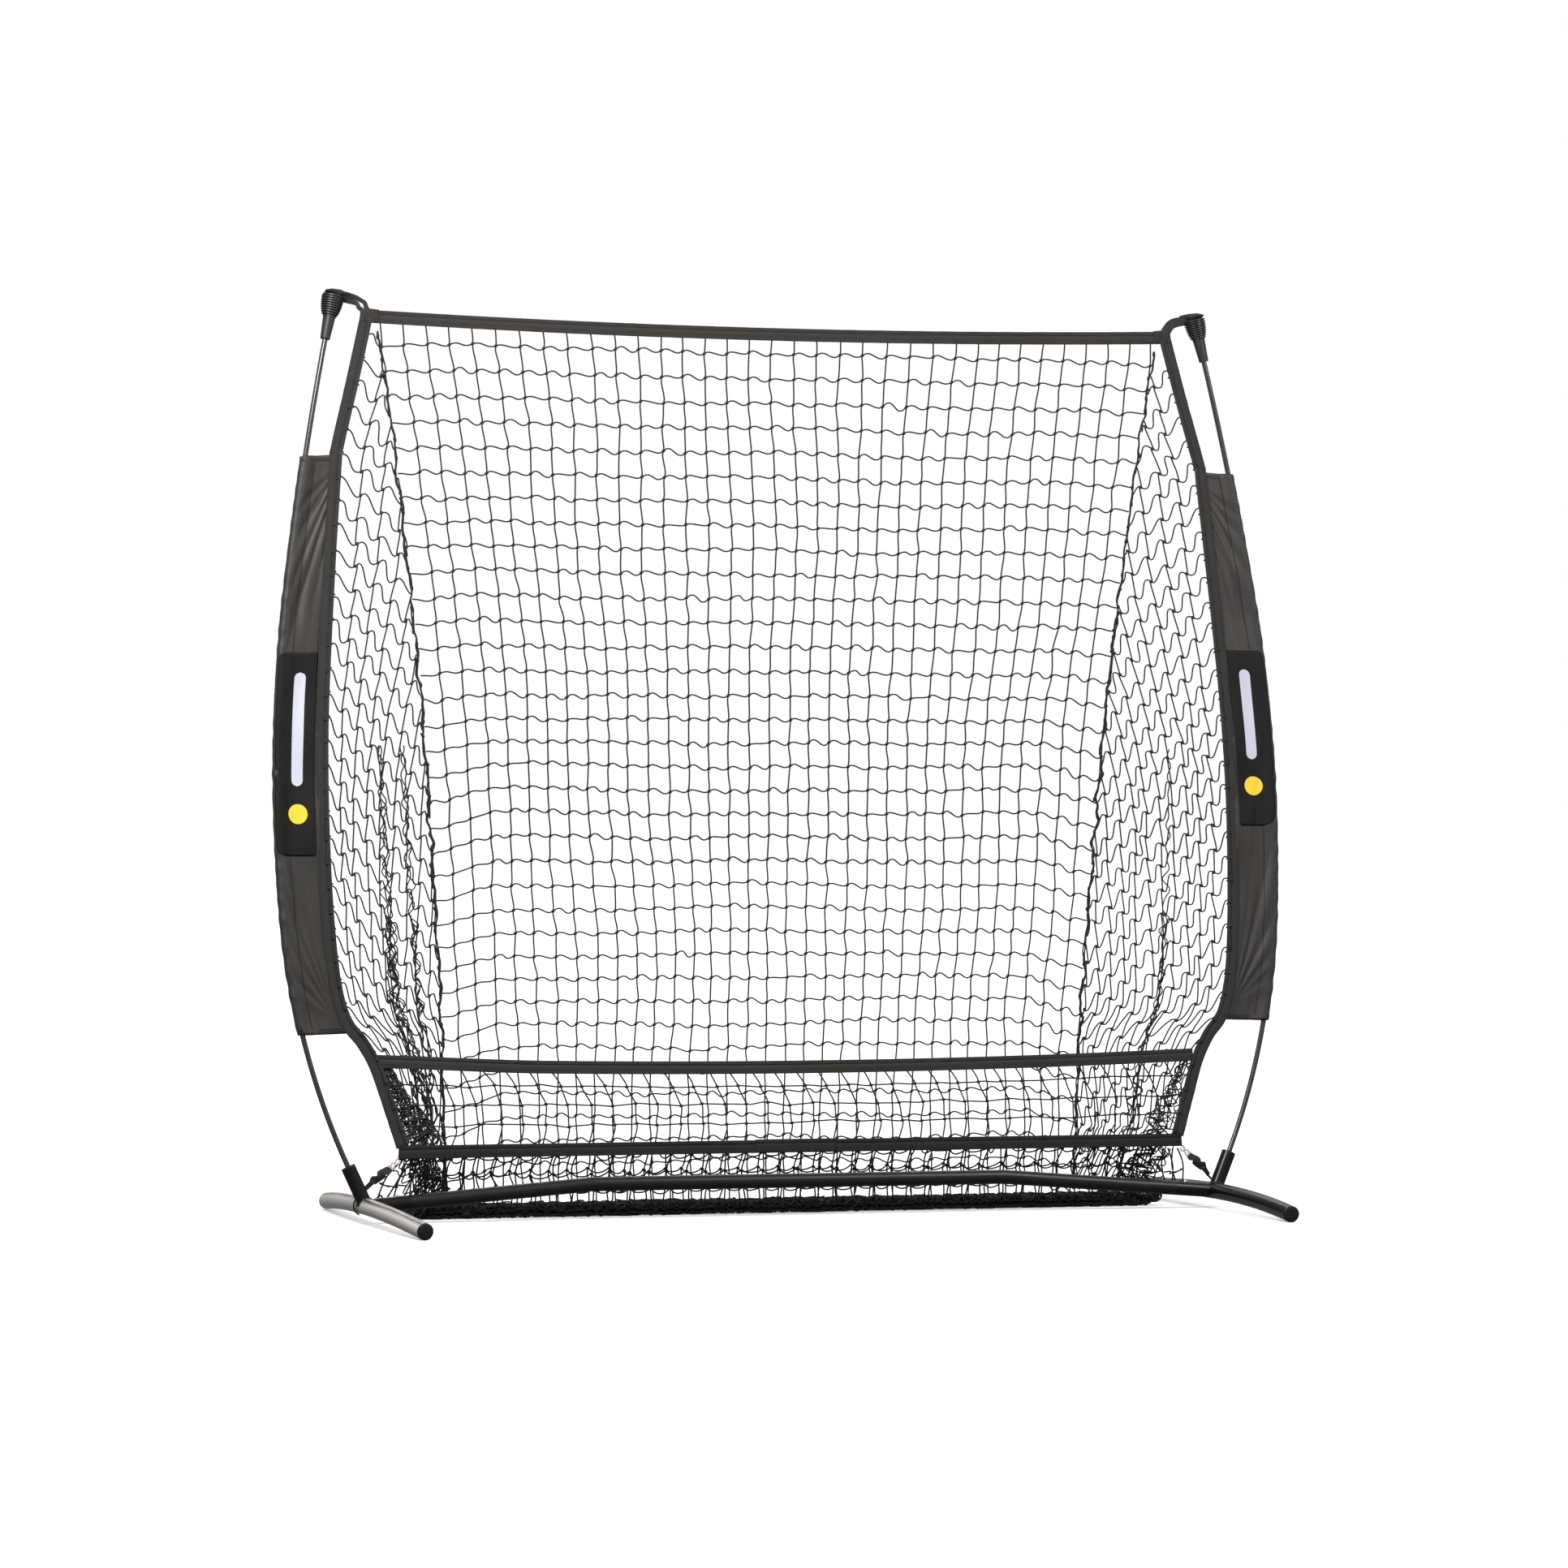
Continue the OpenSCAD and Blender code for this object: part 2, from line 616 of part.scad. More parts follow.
module lower_pole() { section_tube(0, -pole_in_socket, arc_start[1] - weld_gap, pole_r, pole_bore_r); }
module middle_pole() { section_tube(1, arc_start[1], arc_start[2] - weld_gap, pole_r, pole_bore_r); }
module upper_pole() { section_tube(2, arc_start[2], pole_end, pole_r, pole_bore_r); }
module shock_cord() {
    s = [for (k = [0 : shock_steps]) -pole_in_socket + 4 + (pole_end + pole_in_socket - 8) * k / shock_steps];
    lean() cord_along([for (a = s) [bow_point(a)[0], 0, bow_point(a)[1]]], shock_r);
}
module left_lower_pole() { color(steel) left() lower_pole(); }
module left_middle_pole() { color(steel) left() middle_pole(); }
module left_upper_pole() { color(steel) left() upper_pole(); }
module right_lower_pole() { color(steel) lower_pole(); }
module right_middle_pole() { color(steel) middle_pole(); }
module right_upper_pole() { color(steel) upper_pole(); }
module left_pole_ferrules() { color(bright) left() ferrules(); }
module right_pole_ferrules() { color(bright) ferrules(); }
module left_shock_cord() { color(black) left() shock_cord(); }
module right_shock_cord() { color(black) shock_cord(); }
module left_tip_cap() { color(black) left() tip_cap(); }
module right_tip_cap() { color(black) tip_cap(); }
module left_corner_loop() { color(fabric) left() corner_loop(); }
module right_corner_loop() { color(fabric) corner_loop(); }
module left_sleeve() { color(fabric) left() sleeve(); }
module right_sleeve() { color(fabric) sleeve(); }
module left_sleeve_patch() { color(black) left() sleeve_patch(553, 859); }
module right_sleeve_patch() { color(black) sleeve_patch(600, 877); }
module left_side_tape() { color(fabric) left() side_tape(); }
module right_side_tape() { color(fabric) side_tape(); }
module top_tape() { color(fabric) cross_tape(top_z, top_sag, 651, 650); }
module lip_tape() { color(fabric) cross_tape(lip_z, 12, 662, 653); }
module bottom_tape() { color(fabric) cross_tape(bottom_z - 0.3, 0, 640, 640); }
module bottom_tape_splice() {
    color(fabric) in_frame(splice_t, -(tape_t + splice_t) / 2 - 0.05)
        translate([-70, up(bottom_z) - tape_w + 1]) square([130, tape_w]);
}
module back_net() { color(black) back_panel(); }
module left_side_net() { color(black) left() side_panel(); }
module right_side_net() { color(black) side_panel(); }
module lip_net() { color(black) lip_panel(); }
module skirt_net() { color(black) skirt_panel(); }
module floor_net() { color(black) pile(); }
module left_corner_seam() { color(black) left() cord_along(seam_line, seam_r); }
module right_corner_seam() { color(black) cord_along(seam_line, seam_r); }
module left_tie_elastic() { color("white") left() tie_elastic(); }
module right_tie_elastic() { color("white") tie_elastic(); }
module left_tie_tab() { color(black) left() tie_tab(); }
module right_tie_tab() { color(black) tie_tab(); }
module left_tie_hook() { color(black) left() tie_hook(); }
module right_tie_hook() { color(black) tie_hook(); }

left_foot_tube();
right_foot_tube();
left_front_end_cap();
left_rear_end_cap();
right_front_end_cap();
right_rear_end_cap();
left_bar_stub();
right_bar_stub();
left_crossbar();
right_crossbar();
left_pole_socket();
right_pole_socket();
left_socket_bushing();
right_socket_bushing();
left_snap_button();
centre_snap_button();
right_snap_button();
left_button_spring();
centre_button_spring();
right_button_spring();
left_lower_pole();
left_middle_pole();
left_upper_pole();
right_lower_pole();
right_middle_pole();
right_upper_pole();
left_pole_ferrules();
right_pole_ferrules();
left_shock_cord();
right_shock_cord();
left_tip_cap();
right_tip_cap();
left_corner_loop();
right_corner_loop();
left_sleeve();
right_sleeve();
left_sleeve_patch();
right_sleeve_patch();
left_side_tape();
right_side_tape();
top_tape();
lip_tape();
bottom_tape();
bottom_tape_splice();
back_net();
left_side_net();
right_side_net();
lip_net();
skirt_net();
floor_net();
left_corner_seam();
right_corner_seam();
left_tie_elastic();
right_tie_elastic();
left_tie_tab();
right_tie_tab();
left_tie_hook();
right_tie_hook();
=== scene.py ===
"""A pitching target net: a pocket of knotted netting between two sprung bow poles on a tube base.

Everything is in metres in the row frame: X along the crossbar, +Y to the back, +Z up. The shapes
that follow the CAD part (the leaning frame, the bow and the edge of the side tape) use its formulas.
"""

import math

import bpy
import numpy as np
from mathutils import Matrix, Vector


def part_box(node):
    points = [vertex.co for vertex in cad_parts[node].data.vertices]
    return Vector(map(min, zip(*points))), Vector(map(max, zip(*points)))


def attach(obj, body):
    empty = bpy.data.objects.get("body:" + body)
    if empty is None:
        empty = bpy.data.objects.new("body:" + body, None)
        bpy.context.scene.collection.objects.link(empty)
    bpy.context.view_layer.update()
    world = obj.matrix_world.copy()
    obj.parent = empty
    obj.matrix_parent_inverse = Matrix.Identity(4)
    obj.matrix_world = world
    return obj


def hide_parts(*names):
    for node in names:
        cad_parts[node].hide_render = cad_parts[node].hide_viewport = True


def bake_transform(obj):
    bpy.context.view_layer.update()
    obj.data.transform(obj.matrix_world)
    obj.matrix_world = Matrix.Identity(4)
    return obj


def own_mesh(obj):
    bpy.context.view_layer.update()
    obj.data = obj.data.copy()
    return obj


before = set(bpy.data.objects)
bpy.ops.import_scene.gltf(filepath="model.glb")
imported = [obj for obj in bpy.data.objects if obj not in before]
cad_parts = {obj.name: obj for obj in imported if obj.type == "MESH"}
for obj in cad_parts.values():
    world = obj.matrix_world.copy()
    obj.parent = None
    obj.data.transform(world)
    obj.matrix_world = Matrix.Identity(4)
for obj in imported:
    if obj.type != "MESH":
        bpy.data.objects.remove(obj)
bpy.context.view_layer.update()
random = np.random.default_rng(7)

# ------------------------------------------------------------------ driving sizes

MM = 0.001
LEAN = math.radians(6.4)
FOOT_R = 12.7 * MM
FOOT_X = 693 * MM
FOOT_MID_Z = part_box("right_foot_tube")[1].z - FOOT_R
SOCKET_LEN = 66 * MM
SOCKET_ANGLE = math.radians(24)
ARC_LEN = np.array([360, 520, 468]) * MM
ARC_R = np.array([1066, 2390, 5400]) * MM
BOW_LEN = ARC_LEN.sum()
TAPE_W = 20 * MM
TAPE_T = 1.6 * MM
TOP_Z, TOP_SAG = 1384 * MM, 11 * MM
LIP_Z, LIP_SAG = 250 * MM, 12 * MM
BOTTOM_Z = 117 * MM
POCKET_Y = 166 * MM
NET_TOP_Z = 1351 * MM
SKIRT_LEN = 98 * MM
SLEEVE_Z = {"left": (284 * MM, 1158 * MM), "right": (293 * MM, 1158 * MM)}
TUNNEL_R = 7.6 * MM
TWINE_R = 1.25 * MM
KNOT = np.array([7.4, 5.2, 4.8]) * MM
SIDE_ROW = 36.5 * MM     # between the rows of knots in a side net

# The inner edge of the right side tape, and the right corner seam, as (x, z)
TAPE_EDGE = [(624, 118), (643, 178), (663, 238), (684, 277), (708, 308), (722, 356), (730, 430),
             (735, 540), (736, 660), (732, 785), (719, 968), (704, 1143), (700, 1172), (675, 1268),
             (652, 1361), (649, 1378)]
SEAM = [(520, 20), (527, 244), (535, 394), (563, 753), (581, 921), (599, 1065), (613, 1177),
        (640, 1346)]

# ------------------------------------------------------------------ the leaning frame and the bow


def up(z):
    """The distance up the leaning frame that reaches height z."""
    return FOOT_MID_Z + (np.asarray(z) - FOOT_MID_Z) / math.cos(LEAN)


def back(z):
    return (np.asarray(z) - FOOT_MID_Z) * math.tan(LEAN)


def in_frame(x, v, y=0.0):
    """Points at x across, v up the leaning frame and y back from it."""
    x, v, y = np.broadcast_arrays(*(np.asarray(a, float) for a in (x, v, y)))
    d = v - FOOT_MID_Z
    return np.stack([x, y * math.cos(LEAN) + d * math.sin(LEAN),
                     FOOT_MID_Z + d * math.cos(LEAN) - y * math.sin(LEAN)], -1)


def smooth_line(points, n=8):
    """A Catmull-Rom curve through points, n steps between each pair."""
    p = np.asarray(points, float)
    ends = np.vstack([p[:1], p, p[-1:]])
    t = np.linspace(0, 1, n, endpoint=False)[:, None]
    runs = []
    for a, b, c, d in zip(ends, ends[1:], ends[2:], ends[3:]):
        runs.append(0.5 * (2 * b + (c - a) * t + (2 * a - 5 * b + 4 * c - d) * t**2
                           + (3 * b - a - 3 * c + d) * t**3))
    return np.vstack([*runs, p[-1:]])


def bow(s, out=0.0):
    """(x, v) of the right pole at length s above its socket, moved outward by out."""
    s, out = np.broadcast_arrays(np.asarray(s, float), np.asarray(out, float))
    start, heading = 0.0, SOCKET_ANGLE
    at = np.array([FOOT_X + SOCKET_LEN * math.sin(SOCKET_ANGLE),
                   FOOT_MID_Z + SOCKET_LEN * math.cos(SOCKET_ANGLE)])
    x, v = np.zeros(s.shape), np.zeros(s.shape)
    for i, (length, r) in enumerate(zip(ARC_LEN, ARC_R)):
        centre = at + r * np.array([-math.cos(heading), math.sin(heading)])
        low = s >= start if i else np.full(s.shape, True)
        h = heading - (s - start) / r
        x = np.where(low, centre[0] + (r + out) * np.cos(h), x)
        v = np.where(low, centre[1] - (r + out) * np.sin(h), v)
        end = heading - length / r
        at = centre + r * np.array([math.cos(end), -math.sin(end)])
        start, heading = start + length, end
    return x, v


BOW_S = np.linspace(-0.052, BOW_LEN, 600)
BOW_V = bow(BOW_S)[1]
EDGE = smooth_line(np.array(TAPE_EDGE) * MM)
EDGE[:, 1] = up(EDGE[:, 1])
SEAM_LINE = smooth_line(np.array(SEAM) * MM)


def bow_s(v):
    return np.interp(v, BOW_V, BOW_S)


def tape_x(v):
    """The side tape's inner edge at the distance v up the frame."""
    return np.interp(v, EDGE[:, 1], EDGE[:, 0])


def seam_x(z):
    return np.interp(z, SEAM_LINE[:, 1], SEAM_LINE[:, 0])


def back_y(z):
    top_y = back(NET_TOP_Z) + 3 * MM
    return POCKET_Y + (top_y - POCKET_Y) * np.asarray(z) / NET_TOP_Z


def unit(a):
    return a / np.maximum(np.linalg.norm(a, axis=-1, keepdims=True), 1e-12)


def smoothstep(low, high, x):
    t = np.clip((np.asarray(x, float) - low) / (high - low), 0, 1)
    return t * t * (3 - 2 * t)


def distances(line):
    """How far along a line of points each of them lies."""
    return np.concatenate([[0], np.cumsum(np.linalg.norm(np.diff(line, axis=0), axis=1))])


def bump(x, centre, width):
    return np.exp(-((x - centre) / width) ** 2)


def ripple(p, scale, seed=0):
    """Smooth noise from -1 to 1 at points p, from a few sines."""
    made = np.random.default_rng(seed)
    total = np.zeros(p.shape[:-1])
    for _ in range(6):
        direction = unit(made.normal(size=p.shape[-1])) * made.uniform(0.6, 1.6) / scale
        total = total + np.sin(2 * math.pi * (p @ direction) + made.uniform(0, 6.28))
    return total / 3


# ------------------------------------------------------------------ materials


class Nodes:
    """A short way to write a node material."""

    def __init__(self, name, **principled):
        self.material = bpy.data.materials.new(name)
        self.material.use_nodes = True
        self.tree = self.material.node_tree
        self.shader = self.tree.nodes["Principled BSDF"]
        for key, value in principled.items():
            self.shader.inputs[key.replace("_", " ")].default_value = value

    def add(self, kind, inputs=(), **settings):
        node = self.tree.nodes.new("ShaderNode" + kind)
        for key, value in settings.items():
            setattr(node, key, value)
        for key, value in dict(inputs).items():
            if isinstance(value, bpy.types.NodeSocket):
                self.tree.links.new(value, node.inputs[key])
            else:
                node.inputs[key].default_value = value
        return node

    def place(self, scale=(1, 1, 1), source="Object"):
        """Coordinates stretched by scale."""
        where = self.add("TexCoord").outputs[source]
        return self.add("Mapping", {"Vector": where, "Scale": scale}).outputs["Vector"]

    def noise(self, scale, detail=3, where=None, roughness=0.5):
        return self.add("TexNoise", {"Vector": where or self.place(), "Scale": scale, "Detail": detail,
                                     "Roughness": roughness}).outputs["Fac"]

    def wave(self, where, scale, bands="X", distortion=0.0, profile="SIN"):
        return self.add("TexWave", {"Vector": where, "Scale": scale, "Distortion": distortion},
                        bands_direction=bands, wave_profile=profile).outputs["Fac"]

    def mix(self, fac, a, b):
        """A value or colour between a and b."""
        ramp = self.add("ValToRGB", {"Fac": fac})
        ramp.color_ramp.elements[0].color = a if hasattr(a, "__len__") else (a, a, a, 1)
        ramp.color_ramp.elements[1].color = b if hasattr(b, "__len__") else (b, b, b, 1)
        return ramp

    def math(self, operation, a, b):
        return self.add("Math", {0: a, 1: b}, operation=operation).outputs["Value"]

    def link(self, output, name):
        self.tree.links.new(output, self.shader.inputs[name])

    def shade(self, name, fac, a, b):
        """Let one input of the shader vary between a and b."""
        self.link(self.mix(fac, a, b).outputs["Color"], name)

    def bump(self, height, strength, distance):
        made = self.add("Bump", {"Height": height, "Strength": strength, "Distance": distance})
        self.link(made.outputs["Normal"], "Normal")


def grey(v, warm=0.0):
    return (v * (1 + warm), v, v * (1 - warm), 1)


def powder_coat(name="satin_black_powder_coat", dark=0.006, light=0.012, rough=0.34):
    m = Nodes(name, Specular_IOR_Level=0.35)
    m.shade("Base Color", m.noise(35, 5), grey(dark, 0.05), grey(light, 0.05))
    m.shade("Roughness", m.noise(140, 4), rough - 0.06, rough + 0.08)
    m.bump(m.noise(1600, 2), 0.12, 0.0002)
    return m.material


def plate_painted_reflection():
    """Nickel plate with a painted reflection: bands of light and dark, set by how far the surface faces up, run
    along the tube, with fine drawing marks in them.
    """
    m = Nodes("plated_foot_tube_painted_reflection", Metallic=0.55, Specular_IOR_Level=0.8)
    along = m.place((260, 3, 260))
    facing = m.add("SeparateXYZ", {"Vector": m.add("NewGeometry").outputs["Normal"]}).outputs["Z"]
    height = m.math("ADD", m.math("MULTIPLY", facing, 0.5), 0.5)
    streak = m.math("MULTIPLY", m.math("ADD", m.noise(1, 4, along), -0.5), 0.10)
    bands = m.mix(m.math("ADD", height, streak), (0.16, 0.15, 0.14, 1), (0.95, 0.94, 0.92, 1))
    # these stops paint the reflection: light and dark bands, with a dark line near the top
    for at, shade in ((0.22, 0.30), (0.40, 0.52), (0.52, 0.62), (0.66, 0.78), (0.78, 0.97), (0.90, 0.55),
                      (0.93, 0.10), (0.955, 0.12), (0.97, 0.80)):
        stop = bands.color_ramp.elements.new(at)
        stop.color = (shade, shade * 0.97, shade * 0.94, 1)
    m.link(bands.outputs["Color"], "Base Color")
    m.shade("Roughness", m.noise(1.6, 4, along), 0.12, 0.26)
    m.bump(m.noise(2, 3, along), 0.08, 0.0001)
    return m.material


def bright_steel(name, colour, rough):
    m = Nodes(name, Metallic=1.0)
    m.shade("Base Color", m.noise(900, 3), grey(colour * 0.85), grey(colour))
    m.shade("Roughness", m.noise(300, 3), rough, rough + 0.15)
    return m.material


def moulded(name, colour, rough):
    m = Nodes(name, Roughness=rough)
    m.shade("Base Color", m.noise(60, 4), grey(colour * 0.75), grey(colour * 1.2, 0.03))
    m.shade("Roughness", m.noise(220, 4), rough - 0.08, rough + 0.1)
    m.bump(m.noise(2600, 2), 0.2, 0.0001)
    return m.material


def fibreglass():
    m = Nodes("pultruded_rod", Roughness=0.22, Coat_Weight=0.5, Coat_Roughness=0.12)
    along = m.place((1800, 1800, 18))
    m.shade("Base Color", m.noise(1, 3, along), grey(0.008, 0.05), grey(0.055, 0.05))
    m.bump(m.noise(1, 2, along), 0.15, 0.0001)
    return m.material


def woven(name, colour, pitch, rough=0.8, sheen=0.35, contrast=0.35, height=0.25, gloss=0.5):
    """Plain weave with threads a pitch apart, up and across."""
    m = Nodes(name, Roughness=rough, Sheen_Weight=sheen, Sheen_Roughness=0.4, Specular_IOR_Level=gloss)
    where = m.place()
    scale = math.pi / (10 * pitch)
    weft = m.wave(where, scale, "Z", 0.6)
    warp = m.wave(where, scale, "X", 0.6)
    threads = m.math("MAXIMUM", weft, warp)
    cloud = m.noise(9, 5)
    fleck = m.noise(700, 2)
    shade = m.math("MULTIPLY", m.math("ADD", cloud, fleck), 0.5)
    low, high = grey(colour * (1 - contrast), 0.05), grey(colour * (1 + contrast), 0.03)
    m.shade("Base Color", shade, low, high)
    m.bump(m.math("ADD", threads, fleck), height, 0.0004)
    return m.material


def twine(name, colour, sheen=0.15, gloss=0.5):
    """Laid twine: strands wind round it. U runs along the cord in metres, V round it."""
    m = Nodes(name, Roughness=0.75, Sheen_Weight=sheen, Specular_IOR_Level=gloss)
    spiral = m.place((450, 2, 1), "UV")
    lay = m.wave(spiral, 0.32, "DIAGONAL")
    # the colour is darker where the lay's bump is low: painted shade in the grooves between strands, with
    # random tone from the noise
    m.shade("Base Color", m.math("MULTIPLY", lay, m.noise(300, 2)), grey(colour * 0.6), grey(colour * 1.8))
    m.bump(lay, 0.6, 0.0003)
    return m.material


def printed(name, colour):
    m = Nodes(name, Roughness=0.55)
    dark = tuple(c * 0.86 for c in colour[:3]) + (1,)
    m.shade("Base Color", m.noise(500, 3), dark, colour)
    m.bump(m.noise(1500, 2), 0.15, 0.0001)
    return m.material


def floor_paper():
    """White paper that fades into the white behind it."""
    m = Nodes("floor", Roughness=0.9, Emission_Color=(1, 1, 1, 1))
    m.shade("Base Color", m.noise(2, 3), grey(0.84), grey(0.88))
    far = m.add("VectorMath", {0: m.place((0.16, 0.16, 0.16))}, operation="LENGTH").outputs["Value"]
    m.shade("Emission Strength", far, 0.30, 0.75)
    return m.material


POWDER = powder_coat()
STUB_COAT = powder_coat("glossier_black_coat", 0.003, 0.006, 0.24)
PLATE_PAINTED_REFLECTION = plate_painted_reflection()
BUTTON = bright_steel("button_steel", 0.75, 0.15)
SPRING = bright_steel("spring_steel", 0.4, 0.3)
FERRULE = bright_steel("ferrule_metal", 0.6, 0.3)
PLASTIC = moulded("moulded_plastic", 0.004, 0.4)
CAP = moulded("cap_rubber", 0.016, 0.45)
WIRE = moulded("dipped_wire", 0.005, 0.3)
ROD = fibreglass()
SHOCK = woven("shock_cord_cover", 0.02, 0.8 * MM)
CLOTH = woven("sleeve_polyester", 0.021, 0.7 * MM, rough=0.5, sheen=0.10, contrast=0.2)
PATCH = woven("patch_cloth", 0.004, 0.5 * MM, rough=0.6, sheen=0.0, gloss=0.25)
WEBBING = woven("webbing_tape", 0.018, 1.3 * MM, sheen=0.10, height=0.5)
# a darker copy of the webbing for the bottom tape and its splice: painted shade
SHADED_LOW_WEBBING = woven("low_webbing_tape_painted_shade", 0.010, 1.3 * MM, sheen=0.04, height=0.5, gloss=0.4)
THREAD = woven("stitching_thread", 0.004, 0.4 * MM, sheen=0.0)
NETTING = twine("netting_twine", 0.007)
# a darker copy of the netting twine for the heap on the ground: painted shade in the heap
SHADED_HEAP_TWINE = twine("heaped_twine_painted_shade", 0.004, sheen=0.0, gloss=0.25)
ROPE = twine("seam_rope", 0.006)
ELASTIC = woven("white_elastic", 0.62, 0.8 * MM, contrast=0.08)
PRINT_PALE = printed("pale_print", (0.62, 0.64, 0.76, 1))
PRINT_YELLOW = printed("yellow_print", (0.95, 0.66, 0.03, 1))

# ------------------------------------------------------------------ meshes


def piece(name, parts, material, replaces=(), body="frame", smooth=True):
    """One object from a list of (vertices, faces) or (vertices, faces, uv of each face corner)."""
    vertices, faces, uvs, base = [], [], [], 0
    for points, part_faces, *uv in parts:
        vertices.append(np.asarray(points, float).reshape(-1, 3))
        faces += [[i + base for i in f] for f in part_faces]
        uvs += uv
        base += len(vertices[-1])
    mesh = bpy.data.meshes.new(name)
    mesh.from_pydata(np.vstack(vertices).tolist(), [], faces)
    if uvs:
        layer = mesh.uv_layers.new(name="UVMap")
        layer.data.foreach_set("uv", np.concatenate([u.reshape(-1) for u in uvs]).astype(np.float32))
    mesh.polygons.foreach_set("use_smooth", np.full(len(mesh.polygons), smooth))
    mesh.materials.append(material)
    mesh.update()
    made = bpy.data.objects.new(name, mesh)
    bpy.context.scene.collection.objects.link(made)
    if body:
        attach(made, body)
    if replaces:
        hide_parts(*replaces)
    return made


def tubes(paths, normals, radius, sides=5):
    """Tubes with closed ends along paths of shape (m, n, 3), as parts for piece().

    U runs along each tube in metres, V round it."""
    paths = np.asarray(paths, float)
    m, n = paths.shape[:2]
    along = unit(np.gradient(paths, axis=1))
    side = unit(np.cross(along, normals))
    top = np.cross(side, along)
    turn = np.arange(sides)[:, None] * 2 * math.pi / sides
    ring = paths[:, :, None] + radius * (np.cos(turn) * side[:, :, None] + np.sin(turn) * top[:, :, None])
    first = (np.arange(m) * n * sides)[:, None, None] + (np.arange(n - 1) * sides)[:, None]
    a, b = first + np.arange(sides), first + (np.arange(sides) + 1) % sides
    quads = np.stack([a, b, b + sides, a + sides], -1).reshape(-1, 4)
    run = np.cumsum(np.linalg.norm(np.diff(paths, axis=1, prepend=paths[:, :1]), axis=2), axis=1)[..., None]
    share = np.arange(sides) / sides
    u0, u1, v0, v1 = np.broadcast_arrays(run[:, :-1], run[:, 1:], share, share + 1 / sides)
    uv = np.stack([u0, v0, u0, v1, u1, v1, u1, v0], -1).reshape(-1, 2)
    caps = np.vstack([first[:, 0] + np.arange(sides)[::-1], first[:, 0] + (n - 1) * sides + np.arange(sides)])
    return [(ring.reshape(-1, 3), quads.tolist() + caps.tolist(), np.vstack([uv, np.zeros((caps.size, 2))]))]


def blobs(centres, long_axes, normals, size, around=6, levels=4):
    """Rounded lumps of size (long, wide, thick) at centres."""
    centres = np.asarray(centres, float)
    x, normals = (np.broadcast_to(np.asarray(q, float), centres.shape) for q in (long_axes, normals))
    x = unit(x)
    z = unit(normals - (normals * x).sum(-1, keepdims=True) * x)
    axes = np.stack([x, np.cross(z, x), z], 1)
    phi = np.arange(around) * 2 * math.pi / around
    ball = [(1, 0, 0)]
    for t in np.linspace(0, math.pi, levels + 1)[1:-1]:
        ball += [(math.cos(t), math.sin(t) * math.cos(p), math.sin(t) * math.sin(p)) for p in phi]
    ball = np.array([*ball, (-1, 0, 0)]) * np.array(size) / 2
    last = 1 + (levels - 2) * around
    faces = []
    for k in range(around):
        j = (k + 1) % around
        faces.append((0, 1 + k, 1 + j))
        faces += [(a + k, a + around + k, a + around + j, a + j) for a in range(1, last, around)]
        faces.append((last + k, len(ball) - 1, last + j))
    corners = sum(len(f) for f in faces) * len(centres)
    faces = [tuple(i + len(ball) * c for i in f) for c in range(len(centres)) for f in faces]
    return [((centres[:, None] + ball @ axes).reshape(-1, 3), faces, np.zeros((corners, 2)))]


def loft(sections):
    """A closed skin over outlines of shape (n, k, 3), with end faces."""
    sections = np.asarray(sections, float)
    n, k = sections.shape[:2]
    first = (np.arange(n - 1) * k)[:, None]
    a, b = first + np.arange(k), first + (np.arange(k) + 1) % k
    faces = np.stack([a, b, b + k, a + k], -1).reshape(-1, 4).tolist()
    return sections.reshape(-1, 3), faces + [list(range(k))[::-1], [(n - 1) * k + i for i in range(k)]]


def mirrored(points, side):
    """Right-hand points moved to the given side, -1 or 1."""
    return np.asarray(points, float) * np.array([side, 1, 1])


def skin(sections, side):
    """loft() of right-hand outlines on the given side, facing outwards."""
    return loft(mirrored(sections, side)[:, ::-side])


SIDES = (("left", -1), ("right", 1))
FRONT = np.array([0, -1.0, 0])     # the way that the open front faces

# ------------------------------------------------------------------ netting


def hermite(a, b, ta, tb, n):
    t = np.linspace(0, 1, n)[None, :, None]
    a, b, ta, tb = (q[:, None] for q in (a, b, ta, tb))
    return ((2 * t**3 - 3 * t**2 + 1) * a + (t**3 - 2 * t**2 + t) * ta
            + (3 * t**2 - 2 * t**3) * b + (t**3 - t**2) * tb)


def to_edge(inner, outer, inside):
    """Where the lines from inner to outer points leave the netting."""
    low, high = np.zeros(len(inner)), np.ones(len(inner))
    for _ in range(24):
        mid = (low + high) / 2
        within = inside(inner + (outer - inner) * mid[:, None])
        low, high = np.where(within, mid, low), np.where(within, high, mid)
    return inner + (outer - inner) * low[:, None]


